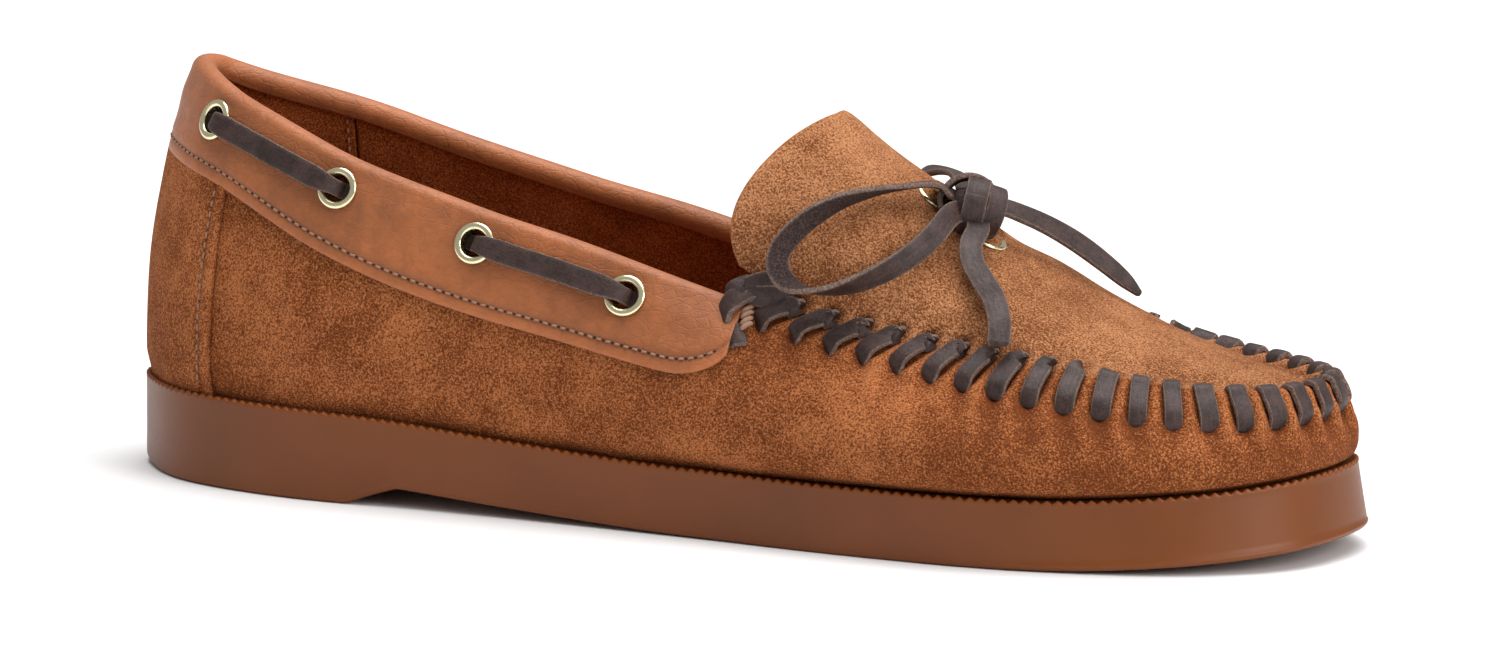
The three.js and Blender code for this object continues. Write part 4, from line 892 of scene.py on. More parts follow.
def collar_leaf(u, depth):
    """The collar's section at each u: up the outside, half a turn round the topline, a little down inside."""
    top = 1 - ROLL / wall_height(u)
    low = np.minimum(collar_low(u), top - 0.03)
    k = np.linspace(0, 1, 26, endpoint=False)
    s = low + (top - low) * k
    spot = eyelet_s(u)
    height = wall_height(u)
    # The lace bulges the leather where it runs behind it, and each grommet presses the leather in round itself.
    places = np.array(COLLAR_EYELETS + tuple(1 - e for e in COLLAR_EYELETS))
    turn = np.abs(np.mod(u, 1)[..., None] - places)
    away = np.sqrt((turn.min(-1) * GIRTH) ** 2 + ((s - spot) * height) ** 2)
    from_heel = np.minimum(np.mod(u, 1), 1 - np.mod(u, 1))
    hidden = 1 - ease(0.044, 0.05, from_heel) + ease(0.232, 0.24, from_heel)
    hidden = hidden + ease(0.118, 0.124, from_heel) * (1 - ease(0.16, 0.166, from_heel))
    bump = 0.28 * hidden * hill((s - spot) * height, 2.7) - 0.3 * hill(away, 5.5)
    stitch = (s - low) * height - COLLAR_ROW
    bump = bump - 0.16 * hill(stitch, 0.7) + 0.14 * hill(stitch - 1.6, 1.3) + 0.08 * hill(stitch + 1.4, 0.8)
    bump = bump + 0.1 * ripple(u * GIRTH / 14, s * height / 8, 23)
    outside = on_wall(u, s, FACE - depth + bump)
    middle = on_wall(u, top, (FACE - ROLL))
    up, _, out = wall_frame(u, top)
    angle = np.linspace(0, np.pi, 15)[None, :, None]
    arc = middle + (out * np.cos(angle) + up * np.sin(angle)) * (ROLL - depth)
    down = arc[:, -1:] - up * (np.linspace(0, TURNED_DOWN, 6)[1:][None, :, None])
    grid = np.concatenate([outside, arc, down], 1)
    # Lighter along the lower edge; a painted highlight on top of the rolled topline; painted shade in the stitch
    # row, round each eyelet and on the part turned down inside.
    leaf_painted_light_and_tone = 0.6 * hill(stitch + COLLAR_ROW, 0.6) - 0.7 * hill(stitch, 0.5) - 0.25 * hill(away, 5.2)
    painted_light_and_tone = np.concatenate([leaf_painted_light_and_tone, np.repeat(0.35 * np.sin(angle[..., 0]), len(u), 0),
                           np.full((len(u), 5), -0.2)], 1)
    return grid, painted_light_and_tone


def collar_shape():
    end = THROAT_U - 0.0035
    u = np.linspace(-end, end, 620)[:, None]
    outer, painted_light_and_tone = collar_leaf(u, 0.0)
    inner, _ = collar_leaf(u, COLLAR)
    return rounded_sheet(outer, inner, painted_light_and_tone)


def patch_shape():
    """Heel patch: a sheet on the back seam, pressed in along its two stitch rows and over the seam under it."""
    u = np.linspace(-PATCH_U, PATCH_U, 150)[:, None]
    s = np.linspace(0, 1, 62)[None] * (collar_low(u) - 0.004)
    beside = (PATCH_U - np.abs(u)) * GIRTH
    height = wall_height(u)
    row = beside - PATCH_ROW + 0.05
    off = -0.28 * hill(row, 0.7) + 0.15 * hill(beside - 1.2, 0.9) - 0.85 * (1 - ease(0, 0.09, s))
    off = off + 0.16 * ripple(u * GIRTH / 9, s * height / 8, 31) - 0.12 * hill(u * GIRTH, 0.9)
    # Painted shade in the two sunk stitch rows and at the foot of the patch; lighter along its side edges.
    painted_light_and_tone = -0.7 * hill(row, 0.5) + 0.3 * hill(beside, 0.5) - 0.6 * (1 - ease(0, 0.1, s))
    return rounded_sheet(on_wall(u, s, GAP + PATCH + off), on_wall(u, s, 0.05 + np.minimum(off, 0)), painted_light_and_tone)


def lining_off(u, s):
    from_heel = np.minimum(np.mod(u, 1), 1 - np.mod(u, 1))
    stiff = 0.15 + 0.95 * (1 - ease(0.06, 0.14, from_heel))
    low = -(WRAP + 0.69 + (1 - ease(0.125, 0.175, from_heel)) * (0.45 + stiff))
    return mix(np.minimum(low, LINING_OFF), LINING_OFF, ease(0.59, 0.73, s))


def lining_shape(start, stop):
    """A lining between two places on the outline: a sheet set in from the wall, with a slow swell."""
    u = np.linspace(start, stop, 160)[:, None]
    top = 1 - ROLL / wall_height(u) - 0.01
    s = mix(0.14, top, np.linspace(0, 1, 50)[None])
    off = lining_off(u, s) + 0.14 * ripple(u * GIRTH / 15, s * wall_height(u) / 11, 41)
    # Uneven tone, and darker towards the bottom.
    painted_light_and_tone = 0.25 * ripple(u * GIRTH / 12, s * 5, 43) - 0.3 * (1 - ease(0.14, 0.4, s))
    return rounded_sheet(on_wall(u, s, off), on_wall(u, s, off - LINING), painted_light_and_tone)


def plate_shape(inset, low, high, cup):
    """A plate that follows the sole: lines across the foot between facing points of the inset outline, its rim
    turned up by a fourth power."""
    u = np.linspace(0, 0.5, 260)
    sides = []
    for share in (u, 1 - u):
        point, out = outline(share)
        sides.append(point - out * inset)
    k = np.linspace(0, 1, 60)
    plan = mix(sides[0][:, None], sides[1][:, None], k[None, :, None])
    rim = (2 * np.abs(k - 0.5)) ** 4 * cup
    base = sole_top(plan[..., 0])
    top = np.concatenate([plan, (base + high + rim)[..., None]], -1)[1:-1]
    under = np.concatenate([plan, (base + low)[..., None]], -1)[1:-1]
    return rounded_sheet(top, under, 0.3 * ripple(top[..., 0] / 14, top[..., 1] / 12, 51))


# ---- Eyelets -------------------------------------------------------------------------------------
def eyelet_profile(sheet):
    """Half section of a pressed grommet: a rolled flange in front, a barrel, a smaller clenched lip behind."""
    bore, flange = EYELET_HOLE / 2, EYELET_FLANGE / 2
    front, back = sheet / 2 + 0.1, -sheet / 2 - 0.25
    roll = [(bore + (flange - bore) * (0.5 - 0.5 * np.cos(k)), front + 0.62 * np.sin(k) ** 0.8)
            for k in np.linspace(0, np.pi, 15)]
    behind = [(bore + 0.35, front - 0.05), (bore + 0.35, back), (bore + 1.05, back - 0.02),
              (bore + 1.0, back - 0.25), (bore + 0.2, back - 0.3), (bore, back)]
    return roll + behind


def collar_spot(u):
    s = eyelet_s(u)
    return on_wall(u, s, FACE - COLLAR / 2), wall_frame(u, s)[2]


def apron_spot(v):
    return on_apron(v, APRON_EYELET_T, -APRON / 2), apron_out(v, APRON_EYELET_T)


def punch(piece, spots, radius):
    """Cuts a round hole through the piece at each (centre, direction), and applies the cut."""
    cutter = Shape()
    for centre, axis in spots:
        lathe(cutter, [(0.001, -3.0), (radius, -3.0), (radius, 3.0), (0.001, 3.0)], centre, axis, 32)
    tool = cutter.make("punch", piece.data.materials[0])
    modifier = piece.modifiers.new("Holes", "BOOLEAN")
    modifier.operation, modifier.solver, modifier.object = "DIFFERENCE", "EXACT", tool
    cut = bpy.data.meshes.new_from_object(piece.evaluated_get(bpy.context.evaluated_depsgraph_get()))
    piece.modifiers.clear()
    piece.data = cut
    bpy.data.objects.remove(tool)


# ---- Laces ---------------------------------------------------------------------------------------
def turned_ends(points, ups):
    """The face of a lace turns with it where it comes out of one hole and where it dives into the next."""
    points, ups = np.array(points, float), np.array(ups, float)
    rise = unit(points[..., 3, :] - points[..., 1, :])
    dive = unit(points[..., -3, :] - points[..., -4, :])
    ups[..., 0, :], ups[..., -1, :] = -rise, dive
    ups[..., 1, :] = unit(0.5 * ups[..., 1, :] - rise)
    ups[..., -2, :] = unit(0.7 * ups[..., -2, :] + dive)
    return ups


def whip_shape(width):
    """Every stitch: out of its hole in the wrap, up over the seam's ridge, and down through the apron."""
    draw = np.random.default_rng(12)
    u = WHIP_U
    head = u + np.where(u < 0.5, 1, -1) * WHIP_LEAN * whip_throat(u)
    low = whip_low(u)
    inside = [apron_inside(head, far) for far in (0.5, 0.9, WHIP_INSIDE, WHIP_INSIDE + 0.15)]
    # Share of the way up from hole to seam, share of the lean taken up by there, and how far off the wall.
    climb = ((-0.12, 0.0, -1.7), (0.03, 0.0, -0.5), (0.2, 0.04, 0.75), (0.5, 0.24, 1.35), (0.8, 0.52, 1.65))
    stations = []
    for share, k, off in climb:
        place, s = mix(u, head, k), mix(low, 1, share)
        stations.append((on_wall(place, s, off), wall_frame(place, s)[2]))
    crest = on_wall(mix(u, head, 0.84), 1, 1.7) + (0, 0, 0.4)
    stations.append((crest, unit(wall_frame(head, 1)[2] + apron_out(*inside[0]))))
    stations += [(on_apron(*place, lift), apron_out(*place))
                 for place, lift in zip(inside[1:], (1.4, -0.1, -1.7))]
    points, ups = (np.stack([s[k] for s in stations], 1) for k in (0, 1))
    ups = turned_ends(points, ups)
    shape = Shape()
    for k in range(WHIP_COUNT):
        size = draw.uniform(0.93, 1.07) * (1 + 0.22 * ease(0.52, 0.6, u[k]))
        strap(shape, points[k], ups[k], width * size, WHIP_THICK * draw.uniform(0.95, 1.1), 30, 18,
              end_round=0.6, phase=draw.uniform(0, 9))
    return shape


LASHING_ROOT = 0.2638  # where both spans of a throat lashing come out of the wall
# Each span: how high it comes out, its places along the seam, how far inside the seam they lie, and its rise.
LASHINGS = ((0.965, (0.2648, 0.2685, 0.2745, 0.2795), (2.2, 4.0, 4.6), 1.7),
            (0.90, (0.2665, 0.2715, 0.2770, 0.2830), (0.6, 1.7, 2.6), 1.0))


def lashing_shape(side, width):
    """Two heavy spans, side by side, that bind the end of the collar to the corner of the apron: up the outside,
    over the topline and forward, down through the apron. A scrap of lace shows under them."""
    shape = Shape()
    for low, u, far, rise in LASHINGS:
        spots = np.array(u) if side < 0 else 1 - np.array(u)
        root = LASHING_ROOT if side < 0 else 1 - LASHING_ROOT
        stations = [(on_wall(root, low - 0.05, FACE - 1.2), wall_frame(root, low)[2]),
                    (on_wall(root, low, FACE + 0.5), wall_frame(root, low)[2]),
                    (on_wall(spots[0], mix(low, 1, 0.62), FACE + 1.3), wall_frame(spots[0], 0.9)[2])]
        lean = unit(np.array((-0.1, side * 0.75, 0.65)))
        stations.append((on_wall(spots[1], 1, FACE + 0.4) + (0, 0, rise), lean))
        for place, distance, lift in zip(spots[1:], far, (2.3, 1.6, -0.4)):
            v, t = apron_inside(np.array([place]), distance)
            stations.append((on_apron(v, t, lift)[0], apron_out(v, t)[0]))
        v, t = apron_inside(spots[-1:], far[-1] + 0.4)
        stations.append((on_apron(v, t, -1.8)[0], apron_out(v, t)[0]))
        points, ups = ([k[part] for k in stations] for part in (0, 1))
        strap(shape, points, turned_ends(points, ups), width, WHIP_THICK * 1.35, 60, 20, boxy=3.5,
              phase=LASHING_ROOT * 90)
    u, s = np.array((0.2668, 0.2685, 0.2702, 0.2722)), np.array((0.775, 0.79, 0.80, 0.82))
    u = u if side < 0 else 1 - u
    scrap = on_wall(u, s, np.array((0.2, 0.9, 1.0, 0.3)))
    strap(shape, scrap, wall_frame(u, s)[2], width * 1.15, WHIP_THICK, 24, 18)
    return shape


def collar_lace_shape():
    """One lace round the whole collar: in the tunnel, and outside between each pair of eyelets."""
    inside = LINING_OFF + 0.25 + LACE_THICK / 2
    outside, rim = FACE + GAP + LACE_THICK / 2, FACE + 1 + LACE_THICK / 2
    narrow, middle = LACE_WIDTH_IN_HOLE, (LACE_WIDTH + LACE_WIDTH_IN_HOLE) / 2
    # Distance before the eyelet, how far off the wall, and width.
    through = [(5.5, inside, LACE_WIDTH), (2.4, inside, narrow), (0.7, -0.2, narrow),
               (0, FACE - COLLAR / 2, narrow), (-0.8, 2.2, narrow), (-2.4, rim, middle),
               (-5.2, rim - 0.1, LACE_WIDTH), (-9, outside, LACE_WIDTH)]
    stops = []

    def run(a, b, off, n):
        stops.extend((u, off, LACE_WIDTH) for u in np.linspace(a, b, n))

    def leg(a, b):
        stops.extend((a + d * PER_MM, off, w) for d, off, w in through)
        run(a - 11 * PER_MM, b + 11 * PER_MM, outside, 4)
        stops.extend((b - d * PER_MM, off, w) for d, off, w in through[::-1])

    first, second, third, fourth = COLLAR_EYELETS
    clear = 8 * PER_MM
    run(0.256, fourth + clear, inside, 3)
    for eyelets in ((fourth, third, second, first), (-first, -second, -third, -fourth)):
        leg(*eyelets[:2])
        run(eyelets[1] - clear, eyelets[2] + clear, inside, 5)
        leg(*eyelets[2:])
        if eyelets[0] == fourth:
            run(first - clear, clear - first, inside, 11)
    run(-fourth - clear, -0.256, inside, 3)
    u, off, width = np.array(stops).T
    s = eyelet_s(u)
    shape = Shape()
    strap(shape, on_wall(u, s, off), wall_frame(u, s)[2], width, LACE_THICK, 1100, 18)
    return shape


# ---- Bow -----------------------------------------------------------------------------------------
KNOT = np.array((176.0, -2.6, 62.8))
# The middle of each lace, and the way its grain face looks along it, evenly spread.
BOW = {
    "bow_loop_lateral": (
        [(170, -6, 67.2), (165, -13, 67.4), (160.5, -18, 66.7), (156, -22.2, 65.2), (152, -25.8, 62.6),
         (149, -29, 59.3), (147.4, -31.4, 56), (147.8, -32.7, 53), (150, -33.4, 50.6), (153.3, -33, 49.5),
         (158, -31.8, 49.6), (163.5, -30.2, 51.2), (170, -26, 54.8), (173.8, -19.5, 58.8),
         (174.8, -10.8, 62.4)],
        [(0.1, -0.2, 0.97), (-0.15, 0.45, 0.88), (-0.4, 0.85, 0.3), (-0.5, 0.8, -0.4), (0.05, -0.3, -0.95),
         (0.35, -0.93, -0.1), (0.4, -0.85, 0.35)], "object"),
    "bow_loop_medial": (
        [(172, 3.6, 66.4), (169, 8.5, 66.9), (165, 13.5, 66.7), (160.5, 18, 65.9), (155.5, 23, 64.4),
         (151.5, 28, 60.4), (149.6, 31.6, 56.4), (150.6, 33, 53.4), (154, 32.4, 52.4), (159.5, 29.8, 54),
         (165.5, 24.5, 57.6), (170.5, 17.5, 61), (174, 9, 63.6)],
        [(0.1, 0.3, 0.95), (0, 0.4, 0.9), (-0.8, 0.3, 0.5), (-0.7, 0.5, -0.5), (0.1, 0.8, -0.6),
         (0.3, 0.9, -0.3), (0.4, 0.8, 0.4)], "object"),
    "bow_tail_lateral": (
        [(179.6, -8.6, 59.8), (180, -13.4, 57.4), (181.8, -17.4, 54.8), (185, -20.8, 52.2), (188.7, -24, 49),
         (191.3, -27.6, 45.3), (192.3, -30.8, 41.2)],
        [(0.45, -0.5, 0.75), (0.4, -0.8, 0.5), (0.42, -0.88, 0.35), (0.4, -0.9, 0.25)], "bare"),
    "bow_tail_medial": (
        [(181, 1.2, 62.6), (184.5, 3.8, 61), (188.5, 7, 58.6), (193, 10, 55.4), (197.6, 12.4, 51.6),
         (201.8, 14.2, 47.8), (204.6, 15.2, 45)],
        [(0.4, -0.3, 0.9), (0.45, -0.5, 0.75), (0.5, -0.6, 0.6), (0.5, -0.6, 0.6)], "bare"),
}


def spread(values, count):
    """Values spread evenly over count places along a Hermite curve through them."""
    values = np.array(values, float)
    at = np.linspace(0, len(values) - 1, count)
    return np.stack([spline(np.c_[np.arange(len(values)), column], at) for column in values.T], -1)


def bow_piece(name, width, material):
    points, ups, far_end = BOW[name]
    inner = KNOT + (np.array(points[0]) - KNOT) * 0.45
    points = [inner] + points + ([KNOT + (np.array(points[-1]) - KNOT) * 0.45] if far_end == "object" else [])
    widths = np.full(len(points), width)
    if name == "bow_tail_medial":
        widths[-3:] *= (0.92, 0.72, 0.22)
    shape = Shape()
    centre, length = strap(shape, points, spread(ups, len(points)), widths, LACE_THICK, 90, 20, end_round=0.35)
    piece = hold(shape.make(name + "_lace", material), "shoe", "lace_leather", name)
    width / 1000
    return piece


def knot_shape(width):
    """The knot: a packed core, three bands drawn tight round it, and the lace in both apron eyelets."""
    shape = Shape()
    angle = np.linspace(0, 2 * np.pi, 48, endpoint=False)
    lift = np.linspace(-1, 1, 26) * np.pi / 2
    core = np.stack([np.cos(lift)[:, None] * np.cos(angle), np.cos(lift)[:, None] * np.sin(angle),
                     np.sin(lift)[:, None] + 0 * angle], -1)
    core *= 1 + 0.05 * np.sin(3 * core[..., :1] * 2 + 4 * core[..., 1:2])
    shape.add(KNOT + core * (4.3, 4.6, 4.2), round_v=True, wear=1.0)
    bands = (((0.4, -0.1, -0.1), (0.93, 0.32, -0.22), 5.4, 5.3, 0.4, 1.02),
             ((2.7, 1.3, -0.9), (0.8, 0.57, -0.35), 4.7, 4.8, 1.2, 0.9),
             ((-0.6, -0.1, 0.9), (0.3, -0.92, 0.3), 5.0, 5.2, 0.2, 0.95))
    for shift, axis, high, deep, start, size in bands:
        axis = unit(np.array(axis))
        side = unit(np.cross(axis, (0, 0, 1)))
        top = np.cross(side, axis)
        turn = start + np.linspace(0, 2.08 * np.pi, 26)
        out = side * np.cos(turn)[:, None] * deep + top * np.sin(turn)[:, None] * high
        grow = 1 + 0.06 * np.linspace(0, 1, 26)[:, None]
        strap(shape, KNOT + np.array(shift) + out * grow, unit(out), width * size, LACE_THICK, 110, 20,
              phase=start)
    for v, ahead in zip(APRON_EYELETS, (-1, 1)):
        down, up = on_apron(v, APRON_EYELET_T, -3.4), apron_out(v, APRON_EYELET_T)
        foot = on_apron(v - ahead * 0.004, APRON_EYELET_T, 1.2)
        path = [down, foot, mix(foot, KNOT, 0.45) + up * 0.8, KNOT]
        ups = np.tile(np.array((-0.75 * ahead, -0.2, 0.6)), (4, 1))
        strap(shape, path, ups, LACE_WIDTH_IN_HOLE, LACE_THICK, 30, 18)
    return shape


# ---- Threads -------------------------------------------------------------------------------------
def row_on_wall(shape, u, s, off, long, thick, seed):
    """Stitches along a line on the wall, each following the line's own direction."""
    points = on_wall(u, s, off)
    thread_row(shape, points, unit(np.gradient(points, axis=0)), wall_frame(u, s)[2], long, thick, seed)


def collar_threads(pitch, thick, shift=0.0, share=0.62):
    """The row along the collar's lower edge. Shifted half a pitch and sunk a little, it stands for the needle
    holes between its stitches, as painted shade in a near-black finish.
    """
    shape = Shape()
    end = THROAT_U - 0.0065
    u = np.linspace(-end, end, 6000)

    def level(u):
        return np.minimum(collar_low(u) + COLLAR_ROW / wall_height(u), 0.985 - ROLL / wall_height(u))

    line = on_wall(u, level(u), FACE)
    far = np.r_[0, np.cumsum(np.linalg.norm(np.diff(line, axis=0), axis=1))]
    at = np.interp(np.arange((1 + shift) * pitch, far[-1], pitch), far, u)
    row_on_wall(shape, at, level(at), FACE - 0.02 - 0.14 * (shift > 0), pitch * share, thick, 61)
    return shape


def patch_threads(pitch, thick):
    shape = Shape()
    for side in (-1, 1):
        u = side * (PATCH_U - PATCH_ROW * PER_MM)
        high = collar_low(u) - 0.03
        s = np.arange(0.06, high, pitch / wall_height(u))
        row_on_wall(shape, np.full(len(s), u), s, GAP + PATCH - 0.2, pitch * 0.66, thick, 62)
    return shape


def lining_threads(pitch, thick):
    """A row on the heel lining down each seam, where it meets the quarters."""
    shape = Shape()
    for seam in (LINING_SEAM - LINING_ROW, 1 + LINING_ROW - LINING_SEAM):
        high = 1 - (ROLL + COLLAR_ROW) / wall_height(seam)
        s = np.arange(0.3, high, pitch / wall_height(seam))
        place = np.full(len(s), seam)
        points = on_wall(place, s, lining_off(place, s) - LINING - 0.05)
        along = unit(np.gradient(points, axis=0))
        thread_row(shape, points, along, -wall_frame(place, s)[2], pitch * 0.66, thick, 63)
    return shape


def corner_knot():
    """The thread's finishing knot at the collar's front corner: four turns drawn tight side by side."""
    shape = Shape()
    for side in (1, -1):
        base = np.array((0.2702, 0.2708, 0.2714, 0.2720))
        u = base if side > 0 else 1 - base
        s = np.array((0.93, 0.905, 0.875, 0.85))
        up = wall_frame(u, s)[2]
        along = unit(wall_frame(u, s)[0] + side * 0.8 * wall_frame(u, s)[1])
        thread_row(shape, on_wall(u, s, 1.5), along, up, 3.0, 1.05, 71)
    return shape


# ---- What the panel sets -------------------------------------------------------------------------
def colour_property(name, description, value):
    return bpy.props.FloatVectorProperty(name=name, description=description, default=value,
                                         subtype="COLOR", size=3, min=0, max=1)


def length_property(name, description, millimetres):
    return bpy.props.FloatProperty(name=name, description=description, default=millimetres / 1000, min=0.0001,
                                   subtype="DISTANCE", unit="LENGTH", precision=5)


class MoccasinColours(bpy.types.PropertyGroup):
    suede: colour_property("Suede", "Colour of the wrap and the heel patch", (0.300, 0.090, 0.0265))
    # The apron's colour is the wrap suede's made lighter and paler: painted top light on the apron and the tongue.
    apron: colour_property("Apron", "Colour of the apron and the tongue", (0.320, 0.121, 0.046))
    collar: colour_property("Collar", "Colour of the smooth collar leather", (0.330, 0.100, 0.0285))
    lining: colour_property("Lining", "Colour of the lining suede and the sock", (0.33, 0.083, 0.019))
    rubber: colour_property("Sole rubber", "Colour of the sole where it catches light", (0.174, 0.0475, 0.0088))
    rubber_deep: colour_property("Sole rubber, deep", "Darker clouds in the sole", (0.143, 0.0385, 0.0068))
    lace: colour_property("Lace", "Colour of the lace's grain face", (0.0365, 0.0195, 0.0165))
    lace_raw: colour_property("Lace edge", "Colour of the lace's cut edges", (0.25, 0.165, 0.13))
    brass: colour_property("Brass", "Colour of the eyelets", (0.88, 0.80, 0.52))
    thread: colour_property("Thread", "Colour of the seam thread", (0.40, 0.22, 0.14))


class MoccasinSizes(bpy.types.PropertyGroup):
    tooth_pitch: length_property("Tooth pitch", "Distance between the teeth of the sole's rim", 2.1)
    tooth_height: length_property("Tooth height", "Height of the teeth of the sole's rim", 0.7)
    lace_width: length_property("Lace width", "Width of the bow lace", LACE_WIDTH)
    whip_width: length_property("Whip stitch width", "Width of the lace round the toe", WHIP_WIDTH)
    stitch_pitch: length_property("Stitch pitch", "Distance between seam stitches", 2.0)
    thread: length_property("Thread thickness", "Thickness of the seam thread", 0.5)


def settings():
    scene = bpy.context.scene
    return scene.moccasin_colours, scene.moccasin_sizes


def millimetres(*names):
    """The panel's sizes of these names, in millimetres."""
    return [getattr(settings()[1], name) * 1000 for name in names]


# ---- Operators -----------------------------------------------------------------------------------
class MOCCASIN_OT_sole(bpy.types.Operator):
    """Gum rubber unit sole with its toothed rim"""
    bl_idname = "moccasin.sole"
    bl_label = "Sole"

    def execute(self, context):
        colours = settings()[0]
        rubber = gum_rubber("gum_rubber", colours.rubber, colours.rubber_deep)
        shape = outsole_shape(*millimetres("tooth_pitch", "tooth_height"))
        hold(shape.make("rubber_sole", rubber), "shoe", "sole_rubber", "outsole")
        return {"FINISHED"}


class MOCCASIN_OT_upper(bpy.types.Operator):
    """Suede wrap, heel patch, and the apron with its tongue"""
    bl_idname = "moccasin.upper"
    bl_label = "Suede upper"

    def execute(self, context):
        colours = settings()[0]
        suede = suede_material("wrap_suede", colours.suede)
        hold(wrap_shape().make("suede_wrap", suede), "shoe", "upper_suede", "moccasin_wrap")
        hold(patch_shape().make("suede_heel_patch", suede), "shoe", "upper_suede", "heel_patch")
        # The apron's suede takes the lighter apron colour, which paints the top light on it.
        apron = apron_shape().make("suede_apron_and_tongue", suede_material("apron_suede_painted_top_light", colours.apron))
        punch(apron, [apron_spot(v) for v in APRON_EYELETS], EYELET_HOLE / 2 + 0.2)
        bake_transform(apron)
        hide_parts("apron", "tongue")
        thread = thread_material("patch_thread", colours.thread)
        row = patch_threads(*millimetres("stitch_pitch", "thread")).make("heel_patch_stitches", thread)
        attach(row, "shoe")
        return {"FINISHED"}


class MOCCASIN_OT_collar(bpy.types.Operator):
    """Smooth leather collar with its row of stitching, the thread's corner knots and painted shade for the needle
    holes
    """
    bl_idname = "moccasin.collar"
    bl_label = "Collar"

    def execute(self, context):
        colours = settings()[0]
        collar = collar_shape().make("leather_collar", smooth_leather("collar_leather", colours.collar))
        punch(collar, [collar_spot(u) for k in COLLAR_EYELETS for u in (k, 1 - k)], EYELET_HOLE / 2 + 0.2)
        hold(collar, "shoe", "collar_leather", "collar_band")
        thread = thread_material("collar_thread", colours.thread)
        pitch, thick = millimetres("stitch_pitch", "thread")
        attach(collar_threads(pitch, thick).make("collar_stitches", thread), "shoe")
        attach(corner_knot().make("collar_thread_knots", thread), "shoe")
        # Painted shade: near-black sunk capsules stand for the shade inside the needle holes between the stitches.
        holes = board_material("needle_hole_shade", (0.035, 0.012, 0.006), 3000)
        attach(collar_threads(pitch, thick, 0.5, 0.36).make("collar_needle_holes", holes), "shoe")
        return {"FINISHED"}


class MOCCASIN_OT_lining(bpy.types.Operator):
    """Suede linings and sock liner"""
    bl_idname = "moccasin.lining"
    bl_label = "Linings"

    def execute(self, context):
        colours = settings()[0]
        suede = suede_material("lining_suede", colours.lining, 0.7)
        for name, start, stop, node in (
                ("suede_heel_lining", -LINING_SEAM, LINING_SEAM, "heel_lining"),
                ("suede_quarter_lining_lateral", LINING_SEAM + LINING_GAP, LINING_ENDS[0],
                 "quarter_lining_lateral"),
                ("suede_quarter_lining_medial", LINING_ENDS[1], 1 - LINING_GAP - LINING_SEAM,
                 "quarter_lining_medial")):
            hold(lining_shape(start, stop).make(name, suede), "shoe", "lining_suede", node)
        rows = lining_threads(*millimetres("stitch_pitch", "thread"))
        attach(rows.make("lining_stitches", thread_material("lining_thread", colours.thread)), "shoe")
        inset = WRAP + STIFFENER + LINING + SOCK_CLEARANCE
        low = WRAP + BOARD + FOOTBED + 4.5 * GAP
        sock = plate_shape(inset, low, low + SOCK, 0.5).make("suede_sock_liner", suede)
        hold(sock, "shoe", "lining_suede", "sock_liner")
        return {"FINISHED"}


class MOCCASIN_OT_inside(bpy.types.Operator):
    """Finishes for the filler, shank, insole board, footbed and stiffener that the upper hides"""
    bl_idname = "moccasin.inside"
    bl_label = "Hidden layers"

    def execute(self, context):
        for node, slot, finish in (
                ("sole_filler", "cork_filler", board_material("pressed_cork", (0.36, 0.2, 0.1), 700)),
                ("shank", "shank_steel", steel_material("spring_steel", (0.42, 0.4, 0.36))),
                ("insole_board", "insole_board",
                 board_material("fibre_board", (0.42, 0.3, 0.18), 1500, 0.85, 0.3)),
                ("footbed", "footbed_foam", board_material("foam", (0.7, 0.6, 0.42), 1100, 0.95, 0.25)),
                ("heel_stiffener", "stiffener_board",
                 board_material("stiffener", (0.5, 0.36, 0.24), 1300, 0.8, 0.3))):
            mesh = bpy.data.objects[node].data
            mesh.materials.clear()
            mesh.materials.append(finish)
        return {"FINISHED"}


class MOCCASIN_OT_eyelets(bpy.types.Operator):
    """Eight collar grommets and two apron grommets"""
    bl_idname = "moccasin.eyelets"
    bl_label = "Eyelets"

    def execute(self, context):
        brass = brass_material("pressed_brass", settings()[0].brass)
        spots = [(f"collar_eyelet_{side}_{i + 1}", *collar_spot(u if side == "lateral" else 1 - u), COLLAR)
                 for side in ("lateral", "medial") for i, u in enumerate(COLLAR_EYELETS)]
        spots += [(f"apron_eyelet_{name}", *apron_spot(v), APRON)
                  for name, v in zip(("rear", "front"), APRON_EYELETS)]
        for node, centre, axis, sheet in spots:
            shape = Shape()
            lathe(shape, eyelet_profile(sheet), centre, axis)
            hold(shape.make(node + "_ring", brass), "shoe", "eyelet_brass", node)
        return {"FINISHED"}


class MOCCASIN_OT_lacing(bpy.types.Operator):
    """Whip stitches round the toe, throat lashings and the collar lace"""
    bl_idname = "moccasin.lacing"
    bl_label = "Lacing"

    def execute(self, context):
        colours = settings()[0]
        lace = lace_material("rawhide_lace", colours.lace, colours.lace_raw)
        width, = millimetres("whip_width")
        hold(whip_shape(width).make("whip_stitches", lace), "shoe", "lace_leather", "toe_lacing")
        for side, name in ((-1, "lateral"), (1, "medial")):
            lashing = lashing_shape(side, width + 0.6).make(f"throat_lashing_{name}_lace", lace)
            hold(lashing, "shoe", "lace_leather", f"throat_lashing_{name}")
        hold(collar_lace_shape().make("collar_lace_strap", lace), "shoe", "lace_leather", "collar_lace")
        return {"FINISHED"}


class MOCCASIN_OT_bow(bpy.types.Operator):
    """Knot, two loops and two tails of the bow"""
    bl_idname = "moccasin.bow"
    bl_label = "Bow"

    def execute(self, context):
        colours = settings()[0]
        lace = lace_material("bow_lace", colours.lace, colours.lace_raw)
        width, = millimetres("lace_width")
        for name in BOW:
            bow_piece(name, width, lace)
        hold(knot_shape(width).make("bow_knot_lace", lace), "shoe", "lace_leather", "bow_knot")
        return {"FINISHED"}


